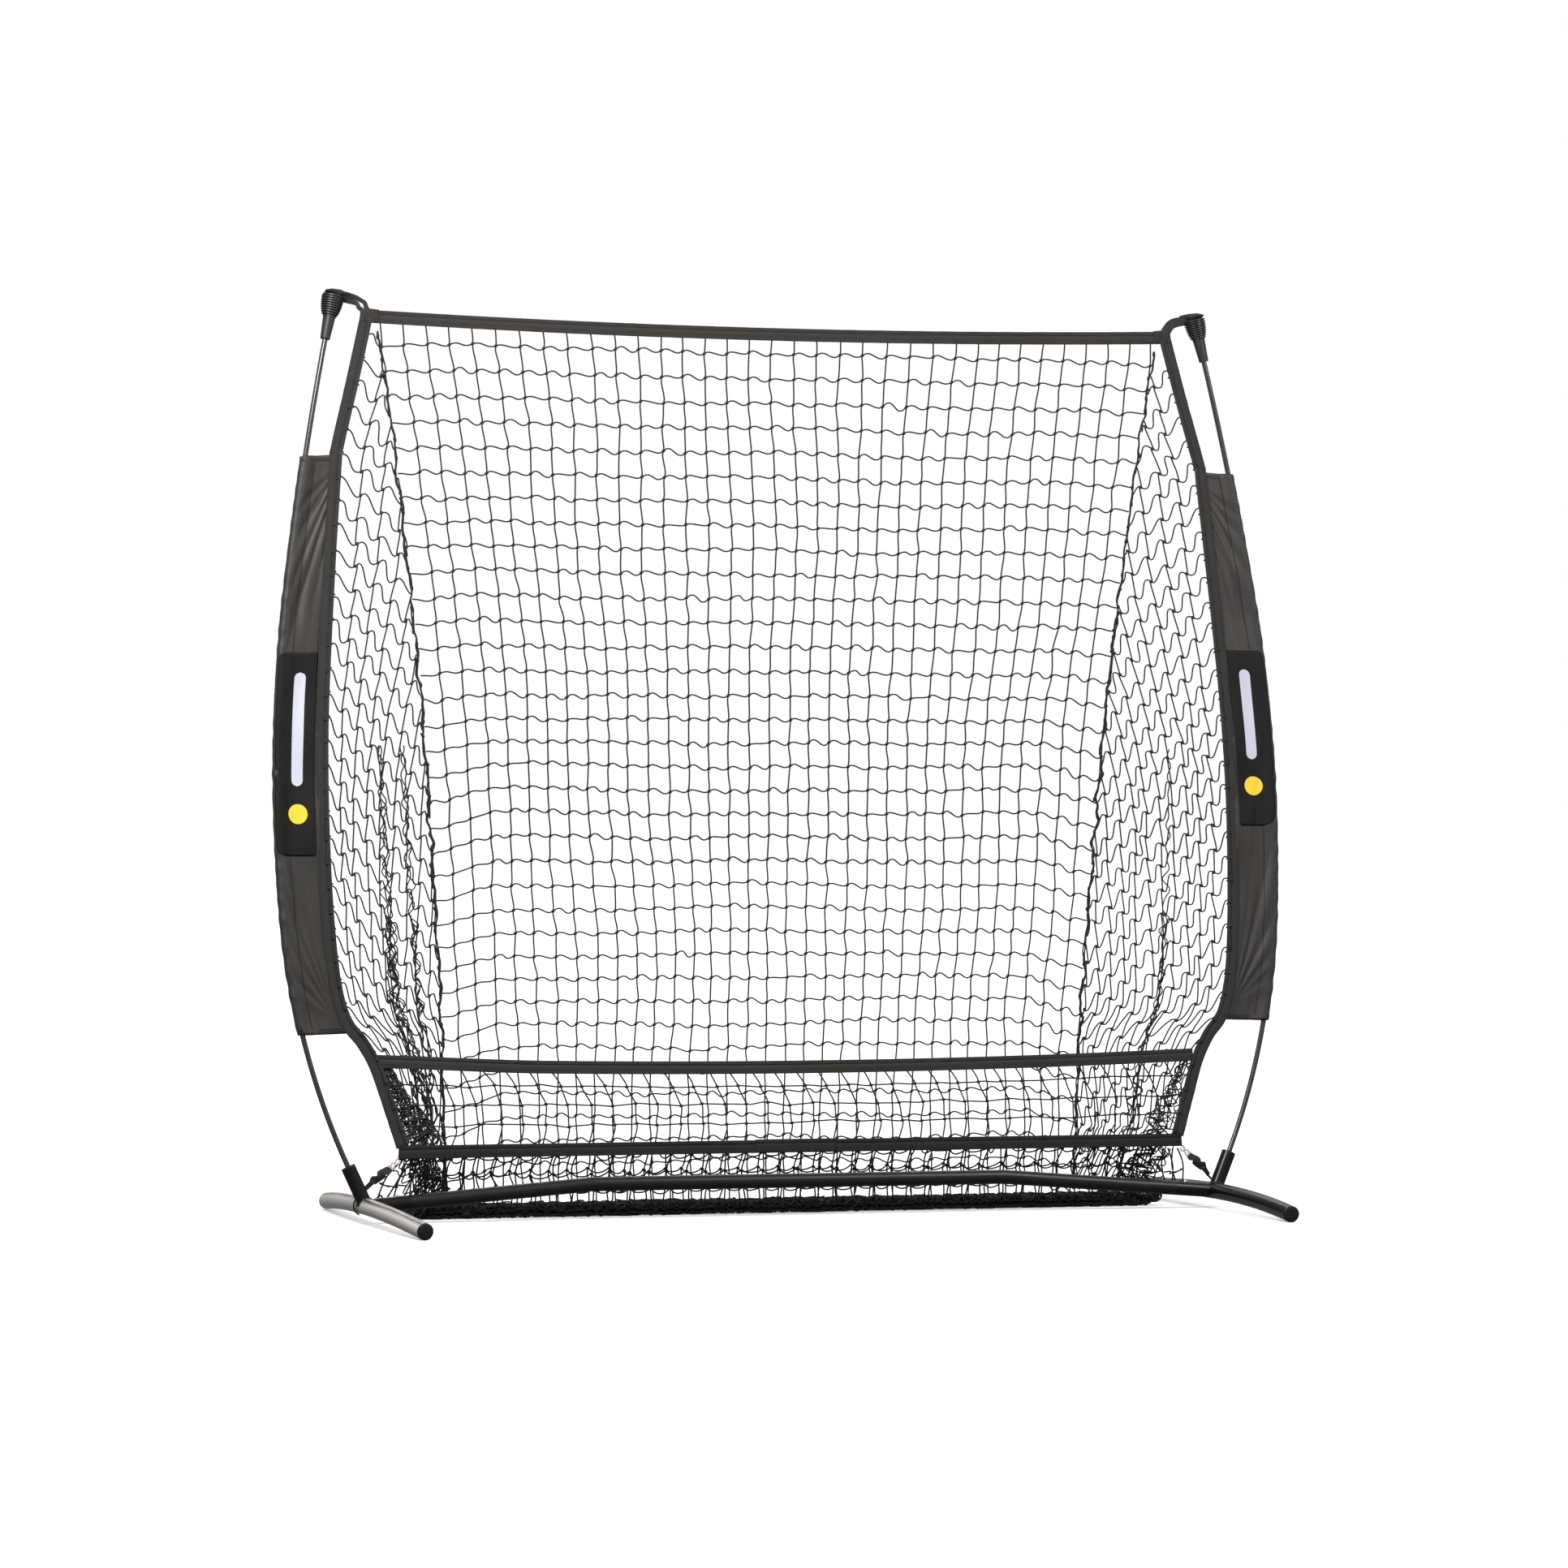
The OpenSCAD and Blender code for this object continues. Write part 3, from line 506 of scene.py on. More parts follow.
def bars(knots, step, inside, direction, slack, n, knot_half):
    """Twine bars between neighbouring knots, as flat curves.

    knots is (rows, columns, 2). direction is the way the twine runs through each knot, and slack
    the share of a bar's length that its ends keep to that way."""
    di, dj = step
    rows, columns = knots.shape[:2]
    a, b = knots[:rows - di, :columns - dj].reshape(-1, 2), knots[di:, dj:].reshape(-1, 2)
    keep = inside(a) | inside(b)
    a, b = a[keep], b[keep]
    cut_a, cut_b = ~inside(a), ~inside(b)
    a2, b2 = a.copy(), b.copy()
    a2[cut_a] = to_edge(b[cut_a], a[cut_a], inside)
    b2[cut_b] = to_edge(a[cut_b], b[cut_b], inside)
    cut_a, cut_b = cut_a[:, None], cut_b[:, None]
    chord = np.linalg.norm(b2 - a2, axis=1, keepdims=True)
    way = np.asarray(direction, float) / np.linalg.norm(direction)
    loose = slack * (1 + 0.25 * random.normal(size=chord.shape))
    turn = random.normal(scale=0.12, size=len(a))
    ways = np.stack([way[0] * np.cos(turn) - way[1] * np.sin(turn),
                     way[0] * np.sin(turn) + way[1] * np.cos(turn)], -1)
    straight = unit(b2 - a2)
    ta, tb = (np.where(cut, straight, ways) * chord * loose for cut in (cut_a, cut_b))
    start = np.where(cut_a, a2, a2 + ways * knot_half)
    end = np.where(cut_b, b2, b2 - ways * knot_half)
    return hermite(start, end, ta, tb, n)


def on_surface(flat, surface):
    """Flat points of shape (..., 2) on the surface, with its normals."""
    small = 0.5 * MM
    at = surface(flat)
    du = surface(flat + np.array([small, 0])) - at
    dv = surface(flat + np.array([0, small])) - at
    return at, unit(np.cross(du, dv))


def twine_paths(flat, surface, wander, seed):
    """Bars laid on the surface, each bowed a little off it."""
    at, normal = on_surface(flat, surface)
    m, n = flat.shape[:2]
    t = np.linspace(0, 1, n)[None, :]
    swing = np.random.default_rng(seed).normal(scale=wander, size=(m, 1)) * np.sin(math.pi * t)
    return at + normal * swing[..., None], normal


def net(name, knots, surface, inside, across, down, nodes, slack=(0.9, 0.35), samples=(8, 6),
        wander=0.8 * MM, radius=TWINE_R, seed=1, drop=0):
    """A panel of knotted netting: across and down are the ways its twines run through a knot."""
    parts, lumps = [], []
    for k, (step, way) in enumerate((((0, 1), across), ((1, 0), down))):
        flat = bars(knots, step, inside, way, slack[k], samples[k], 1.6 * MM)
        if not k:
            flat = bowed(flat, drop)
        paths, normals = twine_paths(flat, surface, wander, seed + k)
        parts += tubes(paths, normals, radius)
    tied = knots.reshape(-1, 2)
    tied = tied[inside(tied)]
    at, normal = on_surface(tied, surface)
    for way, scale in ((across, 1.0), (down, 0.82)):
        way = np.asarray(way, float) / np.linalg.norm(way) * MM
        lumps += blobs(at, surface(tied + way) - at, normal, KNOT * scale)
    piece(name + "_twine", parts, NETTING, nodes)
    piece(name + "_knots", lumps, NETTING, ())


def jitter(shape, amount):
    return random.normal(scale=amount, size=shape)


def back_netting():
    row_top, row_low = 38.7 * MM, 35.0 * MM
    z = [1.332]
    while z[-1] > 0.0:
        share = z[-1] / NET_TOP_Z
        z.append(z[-1] - (row_low + (row_top - row_low) * share))
    u, z = np.meshgrid(np.linspace(-1, 1, 35), [z[0] + row_top, *z])
    # towards the corner seams the rows drop, more so lower down
    drop = smoothstep(0.80, 1.0, np.abs(u)) * (2 + 22 * smoothstep(1.1, 0.5, z)) * MM
    x = u * seam_x(z) + 4 * MM * ripple(np.stack([u * 0.6, z], -1), 0.5, 3)
    knots = np.stack([x, z - drop + 3 * MM * ripple(np.stack([x, z], -1), 0.45, 5)], -1)
    knots += jitter(knots.shape, 1.1 * MM)

    def inside(p):
        x, z = p.T
        top = TOP_Z - TOP_SAG * (1 - (x / 0.651) ** 2) - TAPE_W + 5 * MM
        return (np.abs(x) < seam_x(z) - 0.5 * MM) & (z > 0.012) & (z < top)

    def surface(p):
        sway = 4 * MM * ripple(p, 0.6, 11) * smoothstep(0, 0.25, p[..., 1]) * smoothstep(
            1.35, 1.1, p[..., 1])
        return np.stack([p[..., 0], back_y(p[..., 1]) + sway - 2 * MM, p[..., 1]], -1)

    net("back_net", knots, surface, inside, (1, 0.62), (-0.16, -1), ["back_net"],
        slack=(1.2, 0.5), samples=(9, 6))


def side_front(z):
    """The front edge of a side net: the tape's inner edge, or below it the skirt's end."""
    z = np.asarray(z, float)
    low = np.clip((z - 0.022) / (0.121 - 0.022), 0, 1)
    under = np.stack([0.604 + 0.016 * low, 0.066 - 0.054 * low, z], -1)
    at = np.stack([tape_x(up(z)) + 1 * MM, back(z) + 1.4 * MM, z], -1)
    return np.where((z < 0.121)[..., None], under, at)


def side_rear(z):
    return np.stack([seam_x(z), back_y(z) - 1 * MM, np.asarray(z, float)], -1)


def side_width(z):
    return np.linalg.norm(side_rear(z) - side_front(z), axis=-1)


# The upright folds of each side net: where across it, how wide, and how many twines lie in it
FOLDS = {"left": ((0.53, 0.13, 6), (0.77, 0.08, 3)), "right": ((0.45, 0.08, 2),)}


def side_netting():
    for name, side in SIDES:
        row, column = np.meshgrid(np.arange(-9, 46), np.arange(12), indexing="ij")
        z = 0.03 + SIDE_ROW * row - 25.5 * MM * column + (11 if side > 0 else 0) * MM
        spacing = np.interp(z, [0.10, 0.25, 0.45, 0.63, 0.75, 0.98],
                            np.array([15, 19, 21, 21, 23, 30]) * (1.27 if side < 0 else 1.0) * MM)
        knots = np.stack([column * spacing, z], -1) + jitter(z.shape + (2,), 1.4 * MM)
        knots[:, 0, 0] = -4 * MM      # the first column is sewn under the tape

        def inside(p):
            d, z = p.T
            return (d < side_width(z) - 1 * MM) & (d > -5 * MM) & (z > 0.02) & (z < 1.345)

        def surface(p):
            z = np.clip(p[..., 1], 0.0, 1.36)
            w = np.maximum(side_width(z), 1e-4)
            t = p[..., 0] / w
            # low down the net is gathered into two upright folds
            low = smoothstep(0.66, 0.26, z)
            for centre, width, _ in FOLDS[name]:
                t = t - (t - centre) * low * 0.8 * bump(t, centre, width)
            f, r = side_front(z), side_rear(z)
            at = f + (r - f) * t[..., None]
            across = unit(r - f)
            out = np.stack([across[..., 1], -across[..., 0], 0 * z], -1)
            push = 2.5 * MM * ripple(p, 0.3, 17)
            for centre, width, _ in FOLDS[name]:
                push = push + 5 * MM * low * bump(t, centre, width * 0.6)
            edge = smoothstep(0, 0.12, t) * smoothstep(1.0, 0.9, t)
            return mirrored(at + out * (push * edge)[..., None], side)

        net(f"{name}_side_net", knots, surface, inside, (1, 0.62), (-0.40, -1), [f"{name}_side_net"],
            slack=(1.55, 0.85), samples=(11, 9), seed=20 + side)


def corner_seams():
    """The laced ropes where the side nets meet the back net, with the ends of twine wound on them."""
    count = 46
    for name, side in SIDES:
        z = np.linspace(0.02, 1.352, 260)
        sway = 2.2 * MM * ripple(z[:, None], 0.09, 44 + side) + 1.2 * MM * ripple(z[:, None], 0.035, 47)
        parts = []
        for k in range(3):
            turn = (z / (30 * MM) + k) * 2 * math.pi / 3 + 0.8 * ripple(z[:, None], 0.2, k)
            r = (1.5 + 0.9 * ripple(z[:, None], 0.07, 40 + k)) * np.interp(z, [0.4, 1.3], [1, 0.5]) * MM
            path = np.stack([seam_x(z) + sway + r * np.cos(turn),
                             back_y(z) - 1 * MM + r * np.sin(turn), z], -1)
            parts += tubes(mirrored(path, side)[None], -FRONT, 1.15 * MM, 6)
        at = np.linspace(0.03, 1.34, count) + jitter(count, 5 * MM)
        knots = np.stack([seam_x(at) + np.interp(at, z, sway), back_y(at) - 1 * MM, at], -1)
        knots = knots + jitter((count, 3), 0.8 * MM)
        parts += blobs(mirrored(knots, side), np.array([0.15 * side, 0, 1.0]) + jitter((count, 3), 0.25),
                       -FRONT, (10 * MM, 5.4 * MM, 5 * MM))
        piece(f"{name}_corner_lacing", parts, ROPE, [f"{name}_corner_seam"])


# ------------------------------------------------------------------ tapes


def tape_waves(flat, share):
    """How far a tape's face stands back from flat, with a share of its slower wave."""
    return 0.45 * MM * ripple(flat, 0.03, 5) * share + 0.3 * MM * ripple(flat, 0.011, 6)


def strip(centre, widths, y=0.0, thick=TAPE_T):
    """Webbing along a line of (x, v) points in the leaning frame, as a rounded flat section."""
    centre = np.asarray(centre, float)
    along = unit(np.gradient(centre, axis=0))
    side = np.stack([along[:, 1], -along[:, 0]], -1)
    half = np.broadcast_to(np.asarray(widths, float) / 2, (len(centre),))
    # across the tape: round edges, and the fold of the outer layer as a groove along the stitching
    profile = [(-1, -0.2), (-0.97, -0.5), (-0.9, -0.62), (-0.55, -0.68), (-0.45, -0.62), (-0.40, -0.1),
               (-0.30, -0.1), (-0.24, -0.5), (0.1, -0.56), (0.5, -0.56), (0.9, -0.5), (0.97, -0.4),
               (1, -0.2), (1, 0.2), (0.97, 0.46), (0.9, 0.5), (-0.9, 0.5), (-0.97, 0.46), (-1, 0.2)]
    sections = []
    for a, b in profile:
        flat = centre + side * (half * a)[:, None]
        sections.append(in_frame(*flat.T, y + b * thick + tape_waves(flat, 0.4 + 0.6 * abs(a))))
    return np.stack(sections, 1)


def beside(line, far):
    along = unit(np.gradient(line, axis=0))
    return line + far * np.stack([along[:, 1], -along[:, 0]], -1)


def stitch_rows(name, lines, side=1, gap=4.2 * MM):
    """Small threads along lines of (x, v) points."""
    parts = []
    y = -TAPE_T / 2 - 0.1 * MM
    for line in lines:
        run = distances(line)
        at = np.arange(gap, run[-1] - gap, gap)
        point, ahead = (np.stack([np.interp(place, run, line[:, k]) for k in range(2)], -1)
                        for place in (at, at + 1 * MM))
        at3, ahead3 = (in_frame(*p.T, y + tape_waves(point, 0.7)) for p in (point, ahead))
        normal = in_frame(0, 0, -1.0) - in_frame(0, 0, 0.0)
        parts += blobs(mirrored(at3, side), mirrored(unit(ahead3 - at3), side), normal,
                       (2.6 * MM, 1.2 * MM, 0.7 * MM), 5, 3)
    piece(name, parts, THREAD, ())


def side_tapes():
    for name, side in SIDES:
        sections = strip(beside(EDGE, TAPE_W / 2), TAPE_W)
        piece(f"{name}_side_webbing", [loft(mirrored(sections, side)[:, ::side])], WEBBING,
              [f"{name}_side_tape"])
        stitch_rows(f"{name}_side_stitching", [beside(EDGE, TAPE_W * share) for share in (0.32, 0.90)], side)
        # the lacing that holds the side net shows as small lumps on the inner edge
        v = np.arange(up(0.15), up(1.34), SIDE_ROW)
        v = v + jitter(len(v), 2 * MM)
        at = in_frame(tape_x(v) + 0.6 * MM, v, 0.4 * MM)
        piece(f"{name}_tape_lacing", blobs(mirrored(at, side), (side, 0, 0.8), (0, -1.0, 0.11),
                                           (7 * MM, 3 * MM, 3.4 * MM)), NETTING, ())


def cross_line(z, sag, half, low=0.5):
    """The middle line of a tape across the frame."""
    t = np.linspace(-1, 1, 160)
    return np.stack([half * t, up(z - sag * (1 - t**2)) - TAPE_W * low], -1)


def cross_tapes():
    top = cross_line(TOP_Z, TOP_SAG, 0.6515)
    lip = cross_line(LIP_Z, LIP_SAG, 0.670)
    lip[:, 0] -= 6 * MM
    lip[:, 1] += 4 * MM * smoothstep(-0.40, -0.67, lip[:, 0])
    bottom = cross_line(BOTTOM_Z, 0, 0.640)
    for name, line, node, look in (("top_webbing", top, "top_tape", WEBBING),
                                   ("lip_webbing", lip, "lip_tape", WEBBING),
                                   ("bottom_webbing", bottom, "bottom_tape", SHADED_LOW_WEBBING)):
        piece(name, [loft(strip(line, TAPE_W)[:, ::-1])], look, [node])
    stitch_rows("cross_tape_stitching", [line + np.array([0, TAPE_W * share])
                                         for line in (top, lip, bottom) for share in (-0.19, 0.40)])
    # the splice: a second layer whose right end has come up a little
    x = np.linspace(-0.070, 0.060, 30)
    sections = strip(np.stack([x, np.full(30, up(BOTTOM_Z) - TAPE_W / 2 + 1 * MM)], -1), TAPE_W,
                     -TAPE_T / 2 - 0.7 * MM, 1.2 * MM)
    lift = smoothstep(0.045, 0.060, x) * 1.2 * MM
    sections[:, :, 1] -= lift[:, None]
    piece("bottom_splice_webbing", [loft(sections[:, ::-1])], SHADED_LOW_WEBBING, ["bottom_tape_splice"])


# ------------------------------------------------------------------ sleeves


def fold_depth(out, z, name):
    """How far the sleeve's cloth stands forward: tension folds that fan out of its inner corners."""
    top, low = SLEEVE_Z[name][1] - 0.012, SLEEVE_Z[name][0] + 0.02
    inner = -0.060
    depth = np.zeros(np.broadcast(out, z).shape)
    fans = {"left": [(0.30, 0.030, 1.0), (0.47, 0.035, 0.8), (0.13, 0.028, 0.6), (0.75, 0.07, 0.6),
                     (1.15, 0.10, 0.55)],
            "right": [(0.62, 0.045, 1.0), (0.34, 0.035, 0.9), (0.16, 0.030, 0.6), (0.95, 0.07, 0.6),
                      (1.3, 0.12, 0.5)]}[name]
    for corner, way, scale in ((top, -1, 1.0), (low, 1, 0.8)):
        dx, dz = out - inner, (z - corner) * way
        r = np.hypot(dx, dz)
        angle = np.arctan2(dx, np.maximum(dz, 1e-4))
        for a, w, size in fans:
            # each fold is a sharp crease with a soft swell beside it
            reach = np.exp(-(r / 0.42) ** 2) * smoothstep(0.0, 0.06, r)
            off = (angle - a * 0.62) / w
            crease = np.exp(-np.abs(off)) - 0.55 * bump(off, 1.8, 1.3)
            depth = depth + scale * size * 3.4 * MM * crease * reach
    depth = depth + 1.6 * MM * ripple(np.stack([out * 1.0, z * 0.35 + 0 * out], -1), 0.05, 61)
    return depth * smoothstep(0.004, -0.012, out) * smoothstep(-0.085, -0.060, out)


# How far a sleeve's cloth rises to pass in front of its tunnel
LIFT = TUNNEL_R + 0.2 * MM


def sleeve_points(s, out, y):
    """Right-hand points on a sleeve: s along the pole, out from it, y back from the frame.

    The cloth's weft runs level and not square to the pole, so s shifts with out."""
    ahead = bow(s + 1 * MM)[0] - bow(s)[0]
    x, v = bow(s + out * ahead / MM * np.interp(s, [0.2, BOW_LEN - 0.25], [0.95, 1.5]), out)
    return in_frame(x, v, y)


def panel_edge(s, v):
    """How far out from the pole a sleeve's panel ends, which is under the tape."""
    return tape_x(v) + TAPE_W * 0.75 - bow(s)[0]


def sleeves():
    for name, side in SIDES:
        s = np.linspace(*(bow_s(up(end)) for end in SLEEVE_Z[name]), 200)
        v = bow(s)[1]
        z = FOOT_MID_Z + (v - FOOT_MID_Z) * math.cos(LEAN)
        inner = panel_edge(s, v)
        share = np.linspace(0, 1, 40)
        panel = inner[:, None] * (1 - share) - 1 * MM * share
        front = 0.2 * MM + fold_depth(panel, z[:, None], name) - LIFT * smoothstep(0.6, 1.0, share)
        # round the pole, as the cloth's outer and inner faces
        arc = np.linspace(-0.5 * math.pi, 0.62 * math.pi, 22)
        r_out = TUNNEL_R + 0.5 * MM * ripple(np.stack([s, 0 * s], -1), 0.03, 71)[:, None]
        r_in = np.full_like(r_out, TUNNEL_R - 0.9 * MM)
        outer = r_out * np.cos(arc), r_out * np.sin(arc)
        # the back layer comes round the pole and is sewn down beside it
        sewn = np.linspace(0, 1, 8)
        tail = (outer[0][:, -1:] * (1 - sewn) - 19 * MM * sewn,
                outer[1][:, -1:] * (1 - sewn) + 2.3 * MM * sewn)
        runs = [(panel, front), outer, tail, (tail[0][:, ::-1], tail[1][:, ::-1] - 0.9 * MM),
                (r_in * np.cos(arc[::-1]), r_in * np.sin(arc[::-1])),
                (panel[:, ::-1], np.minimum(front[:, ::-1] + 1 * MM, 3 * MM))]
        out, y = (np.concatenate([run[k] for run in runs], axis=1) for k in range(2))
        made = piece(f"{name}_sleeve_cloth", [skin(sleeve_points(s[:, None], out, y), side)], CLOTH,
                     [f"{name}_sleeve"])
        sleeve_trim(name, side, s, inner, z)


def sleeve_trim(name, side, s, inner, z):
    """Hems at the two ends of a sleeve, and its tunnel seam."""
    share = np.linspace(0, 1, 60)
    runs = [(s[k] + way * rise + 0 * share, inner[k] * (1 - share) + 6 * MM * share, share)
            for k, way in ((0, 1), (-1, -1)) for rise in (5 * MM, 8 * MM)]
    seam, out = np.linspace(s[2], s[-3], 420), -17 * MM
    edge = np.interp(seam, s, inner)
    runs.append((seam, out + 0 * seam, (edge - out) / (edge + 1 * MM)))
    parts = []
    for at, out, share in runs:
        y = fold_depth(out, np.interp(at, s, z), name) - 0.3 * MM - LIFT * smoothstep(0.6, 1.0, share)
        parts += tubes(mirrored(sleeve_points(at, out, y), side)[None], FRONT, 0.35 * MM)
    piece(f"{name}_sleeve_seams", parts, THREAD, ())


def patch_sheet(label, side, box, radii, lift, thick, material, replaces=()):
    """A thin sheet sewn on a sleeve, with rounded corners.

    box is (low, high, inner, outer), and radii go bottom inner, bottom outer, top inner, top outer."""
    name = label.split("_")[0]
    low, high, left, right = box
    z = np.linspace(low, high, 90)
    left, right = np.full(90, left), np.full(90, right)
    for k, r in enumerate(radii):
        gap = high - z if k > 1 else z - low
        cut = np.where(gap < r, r - np.sqrt(np.maximum(r**2 - (r - gap) ** 2, 0)), 0)
        if k % 2:
            right = right - cut
        else:
            left = left + cut
    out = left[:, None] + (right - left)[:, None] * np.linspace(0, 1, 26)
    s = bow_s(up(z))
    inner = panel_edge(s, up(z))[:, None]
    share = (inner - out) / (inner + 1 * MM)
    round_tunnel = np.sqrt(TUNNEL_R**2 - np.clip(out, 0, TUNNEL_R) ** 2) / TUNNEL_R
    y = (fold_depth(out, z[:, None], name) - LIFT * smoothstep(0.6, 1.0, share) * round_tunnel
         + 0.2 * MM - lift)
    faces = [sleeve_points(s[:, None], out, y), sleeve_points(s[:, None], out, y + thick)[:, ::-1]]
    sections = np.concatenate(faces, axis=1)
    piece(label, [loft(mirrored(sections, side)[:, ::side])], material, replaces)


def patches():
    """The dark patches on the sleeves, with a plain printed bar and disc in place of any mark."""
    middle = -31 * MM
    for name, side, low, high, corner, edge in (("left", -1, 0.553, 0.859, 12 * MM, 5.5 * MM),
                                                ("right", 1, 0.600, 0.877, 20 * MM, 1.5 * MM)):
        patch_sheet(f"{name}_patch_cloth", side, (low, high, -58 * MM, edge),
                    (3 * MM, corner, 3 * MM, 6 * MM), 0.8 * MM, 0.5 * MM, PATCH, [f"{name}_sleeve_patch"])
        for label, bottom, top, half, look in (("bar", low + 0.105, high - 0.030, 9 * MM, PRINT_PALE),
                                               ("disc", low + 0.048, low + 0.078, 15 * MM, PRINT_YELLOW)):
            patch_sheet(f"{name}_printed_{label}", side, (bottom, top, middle - half, middle + half),
                        [half] * 4, 1.0 * MM, 0.3 * MM, look)


# ------------------------------------------------------------------ the lip, the skirt and the ground


def bowed(flat, drop):
    """Bars that hang down by drop in their middle."""
    t = np.linspace(0, 1, flat.shape[1])
    out = flat.copy()
    out[..., 1] -= drop * 4 * t * (1 - t)
    return out


def lip_netting():
    """Four rows of mesh drawn tight between the two lower tapes, its uprights leaning over."""
    lean_over = np.array([0, 14, 26, 27, 21]) * MM
    drop = np.array([-6, 21, 52, 83, 120]) * MM
    x = np.arange(-19, 19) * 36 * MM + lean_over[:, None]
    sag = LIP_SAG * (1 - np.clip(np.abs(x) / 0.65, 0, 1) ** 2) * (1 - drop[:, None] / (120 * MM))
    v = up(LIP_Z) - TAPE_W - drop[:, None] - sag
    knots = np.stack([x, v], -1) + jitter(x.shape + (2,), 1.2 * MM)

    def inside(p):
        x, v = np.abs(p[:, 0]), p[:, 1]
        tape = up(LIP_Z - LIP_SAG * (1 - np.clip(x / 0.66, 0, 1) ** 2)) - TAPE_W + 3 * MM
        return (x < tape_x(v) + 2 * MM) & (v < tape) & (v > up(BOTTOM_Z) - 3 * MM)

    def surface(p):
        return in_frame(p[..., 0], p[..., 1], 1.2 * MM + 1.5 * MM * ripple(p, 0.2, 31))

    net("lip_net", knots, surface, inside, (1, 0.1), (0.25, -1), ["lip_net"], slack=(0.5, 0.5), seed=50)


def skirt_point(x, w):
    """A point on the skirt, w down its slope from the bottom tape, which sags back to the ground."""
    t = np.asarray(w, float) / SKIRT_LEN
    top = in_frame(x, up(BOTTOM_Z) - TAPE_W * 0.9 + 0 * t, 1.5 * MM)
    y = top[..., 1] + (66 * MM - top[..., 1]) * t + 7 * MM * np.sin(math.pi * np.clip(t, 0, 1))
    return np.stack([np.broadcast_to(x, t.shape), y, top[..., 2] + (14 * MM - top[..., 2]) * t], -1)


def skirt_netting():
    """The slack mesh under the bottom tape: two layers that show as pairs of uprights and loops."""
    for name, nodes, shift, fall, deep, seed in (
            ("skirt_net", ["skirt_net"], 0, 0, 0, 0),
            ("skirt_net_rear", (), 8.5 * MM, 5 * MM, 3 * MM, 1)):
        rows = np.array([-3, 29, 61, 94])[:, None] * MM + fall
        x = np.arange(-21, 22) * 30.6 * MM + shift + np.array([0, 3, 12, 16])[:, None] * MM
        close = smoothstep(0.50, 0.585, np.abs(x))
        knots = np.stack([x - np.sign(x) * close * 16 * MM, -rows + 0 * x], -1)
        knots += jitter(knots.shape, 1.7 * MM)

        def inside(p):
            return (np.abs(p[:, 0]) < 0.600) & (p[:, 1] < 0.0) & (p[:, 1] > -SKIRT_LEN)

        def surface(p):
            at = skirt_point(p[..., 0], -p[..., 1])
            at[..., 1] += deep + 2.5 * MM * ripple(p, 0.08, 41 + seed)
            return at

        net(name, knots, surface, inside, (1, -0.25), (0.1, -1), nodes, slack=(0.5, 0.6),
            wander=2 * MM, seed=60 + seed, radius=1.3 * MM, drop=7 * MM)


def strands(path, normal, count, width, deep, radius, waves, seed, n=None):
    """Twines that wander about a line of points, as wide and deep as given there."""
    made = np.random.default_rng(seed)
    run = distances(path)
    at = np.linspace(0, run[-1], n or max(30, int(run[-1] / (3.5 * MM))))
    line = np.stack([np.interp(at, run, path[:, k]) for k in range(3)], -1)
    normal = np.asarray(normal, float)
    side = unit(np.cross(unit(np.gradient(line, axis=0)), np.broadcast_to(normal, line.shape)))
    t = at / run[-1]
    width = np.interp(t, np.linspace(0, 1, len(width)), width)

    def waver(low, high, terms, share):
        return sum(np.sin(2 * math.pi * (made.uniform(low, high) * waves * t + made.uniform())) / share
                   for _ in range(terms))

    paths = []
    for _ in range(count):
        base = made.uniform(-0.5, 0.5)
        off = np.clip(base + 0.55 * waver(0.5, 1.6, 3, 3), -0.55, 0.55)
        lift = deep * waver(0.5, 1.4, 2, 2) / 2
        paths.append(line + side * (width * off)[:, None] + unit(normal) * lift[:, None])
    return tubes(paths, unit(normal), radius)


def gathers():
    """Where the side nets bunch up: down their tapes, at their folds and at the corner seams."""
    face = (0, -1.0, 0.11)
    for name, side, count, width, spread in (("left", -1, 17, 1.15, 0.75), ("right", 1, 7, 0.9, 0.4)):
        v = np.linspace(up(0.100), up(0.236), 60)
        line = in_frame(tape_x(v) - 6 * MM - 18 * MM * np.linspace(1, 0, 60) ** 1.3, v, 8 * MM)
        parts = strands(mirrored(line, side), face, count, np.array([60, 48, 34, 20, 12]) * width * MM,
                        16 * MM, 1.15 * MM, 5, 81 + side)
        # the upright folds, from the middle of the net down to the ground
        for share, fold_width, twines in FOLDS[name]:
            for top_z, part in ((0.72, 0.4), (0.46, 0.6)):
                z = np.linspace(0.022, top_z, 140)
                line = side_front(z) + (side_rear(z) - side_front(z)) * share
                parts += strands(mirrored(line, side), (-side * 0.7, -0.7, 0), math.ceil(twines * part),
                                 np.array([46, 40, 32, 22, 8]) * fold_width * 7 * MM, 10 * MM, 1.1 * MM,
                                 top_z * 24, 90 + side + int(share * 10))
        # the clump behind the bottom tape's end
        rise = np.linspace(0, 0.08, 30)
        line = np.stack([0.575 + spread * rise, 0.062 - 0.6 * rise, 0.020 + rise], -1)
        parts += strands(mirrored(line, side), face, 9, np.array([74, 56, 40]) * MM, 14 * MM, 1.2 * MM, 3,
                         95 + side)
        piece(f"{name}_gathered_net", parts, NETTING, ())


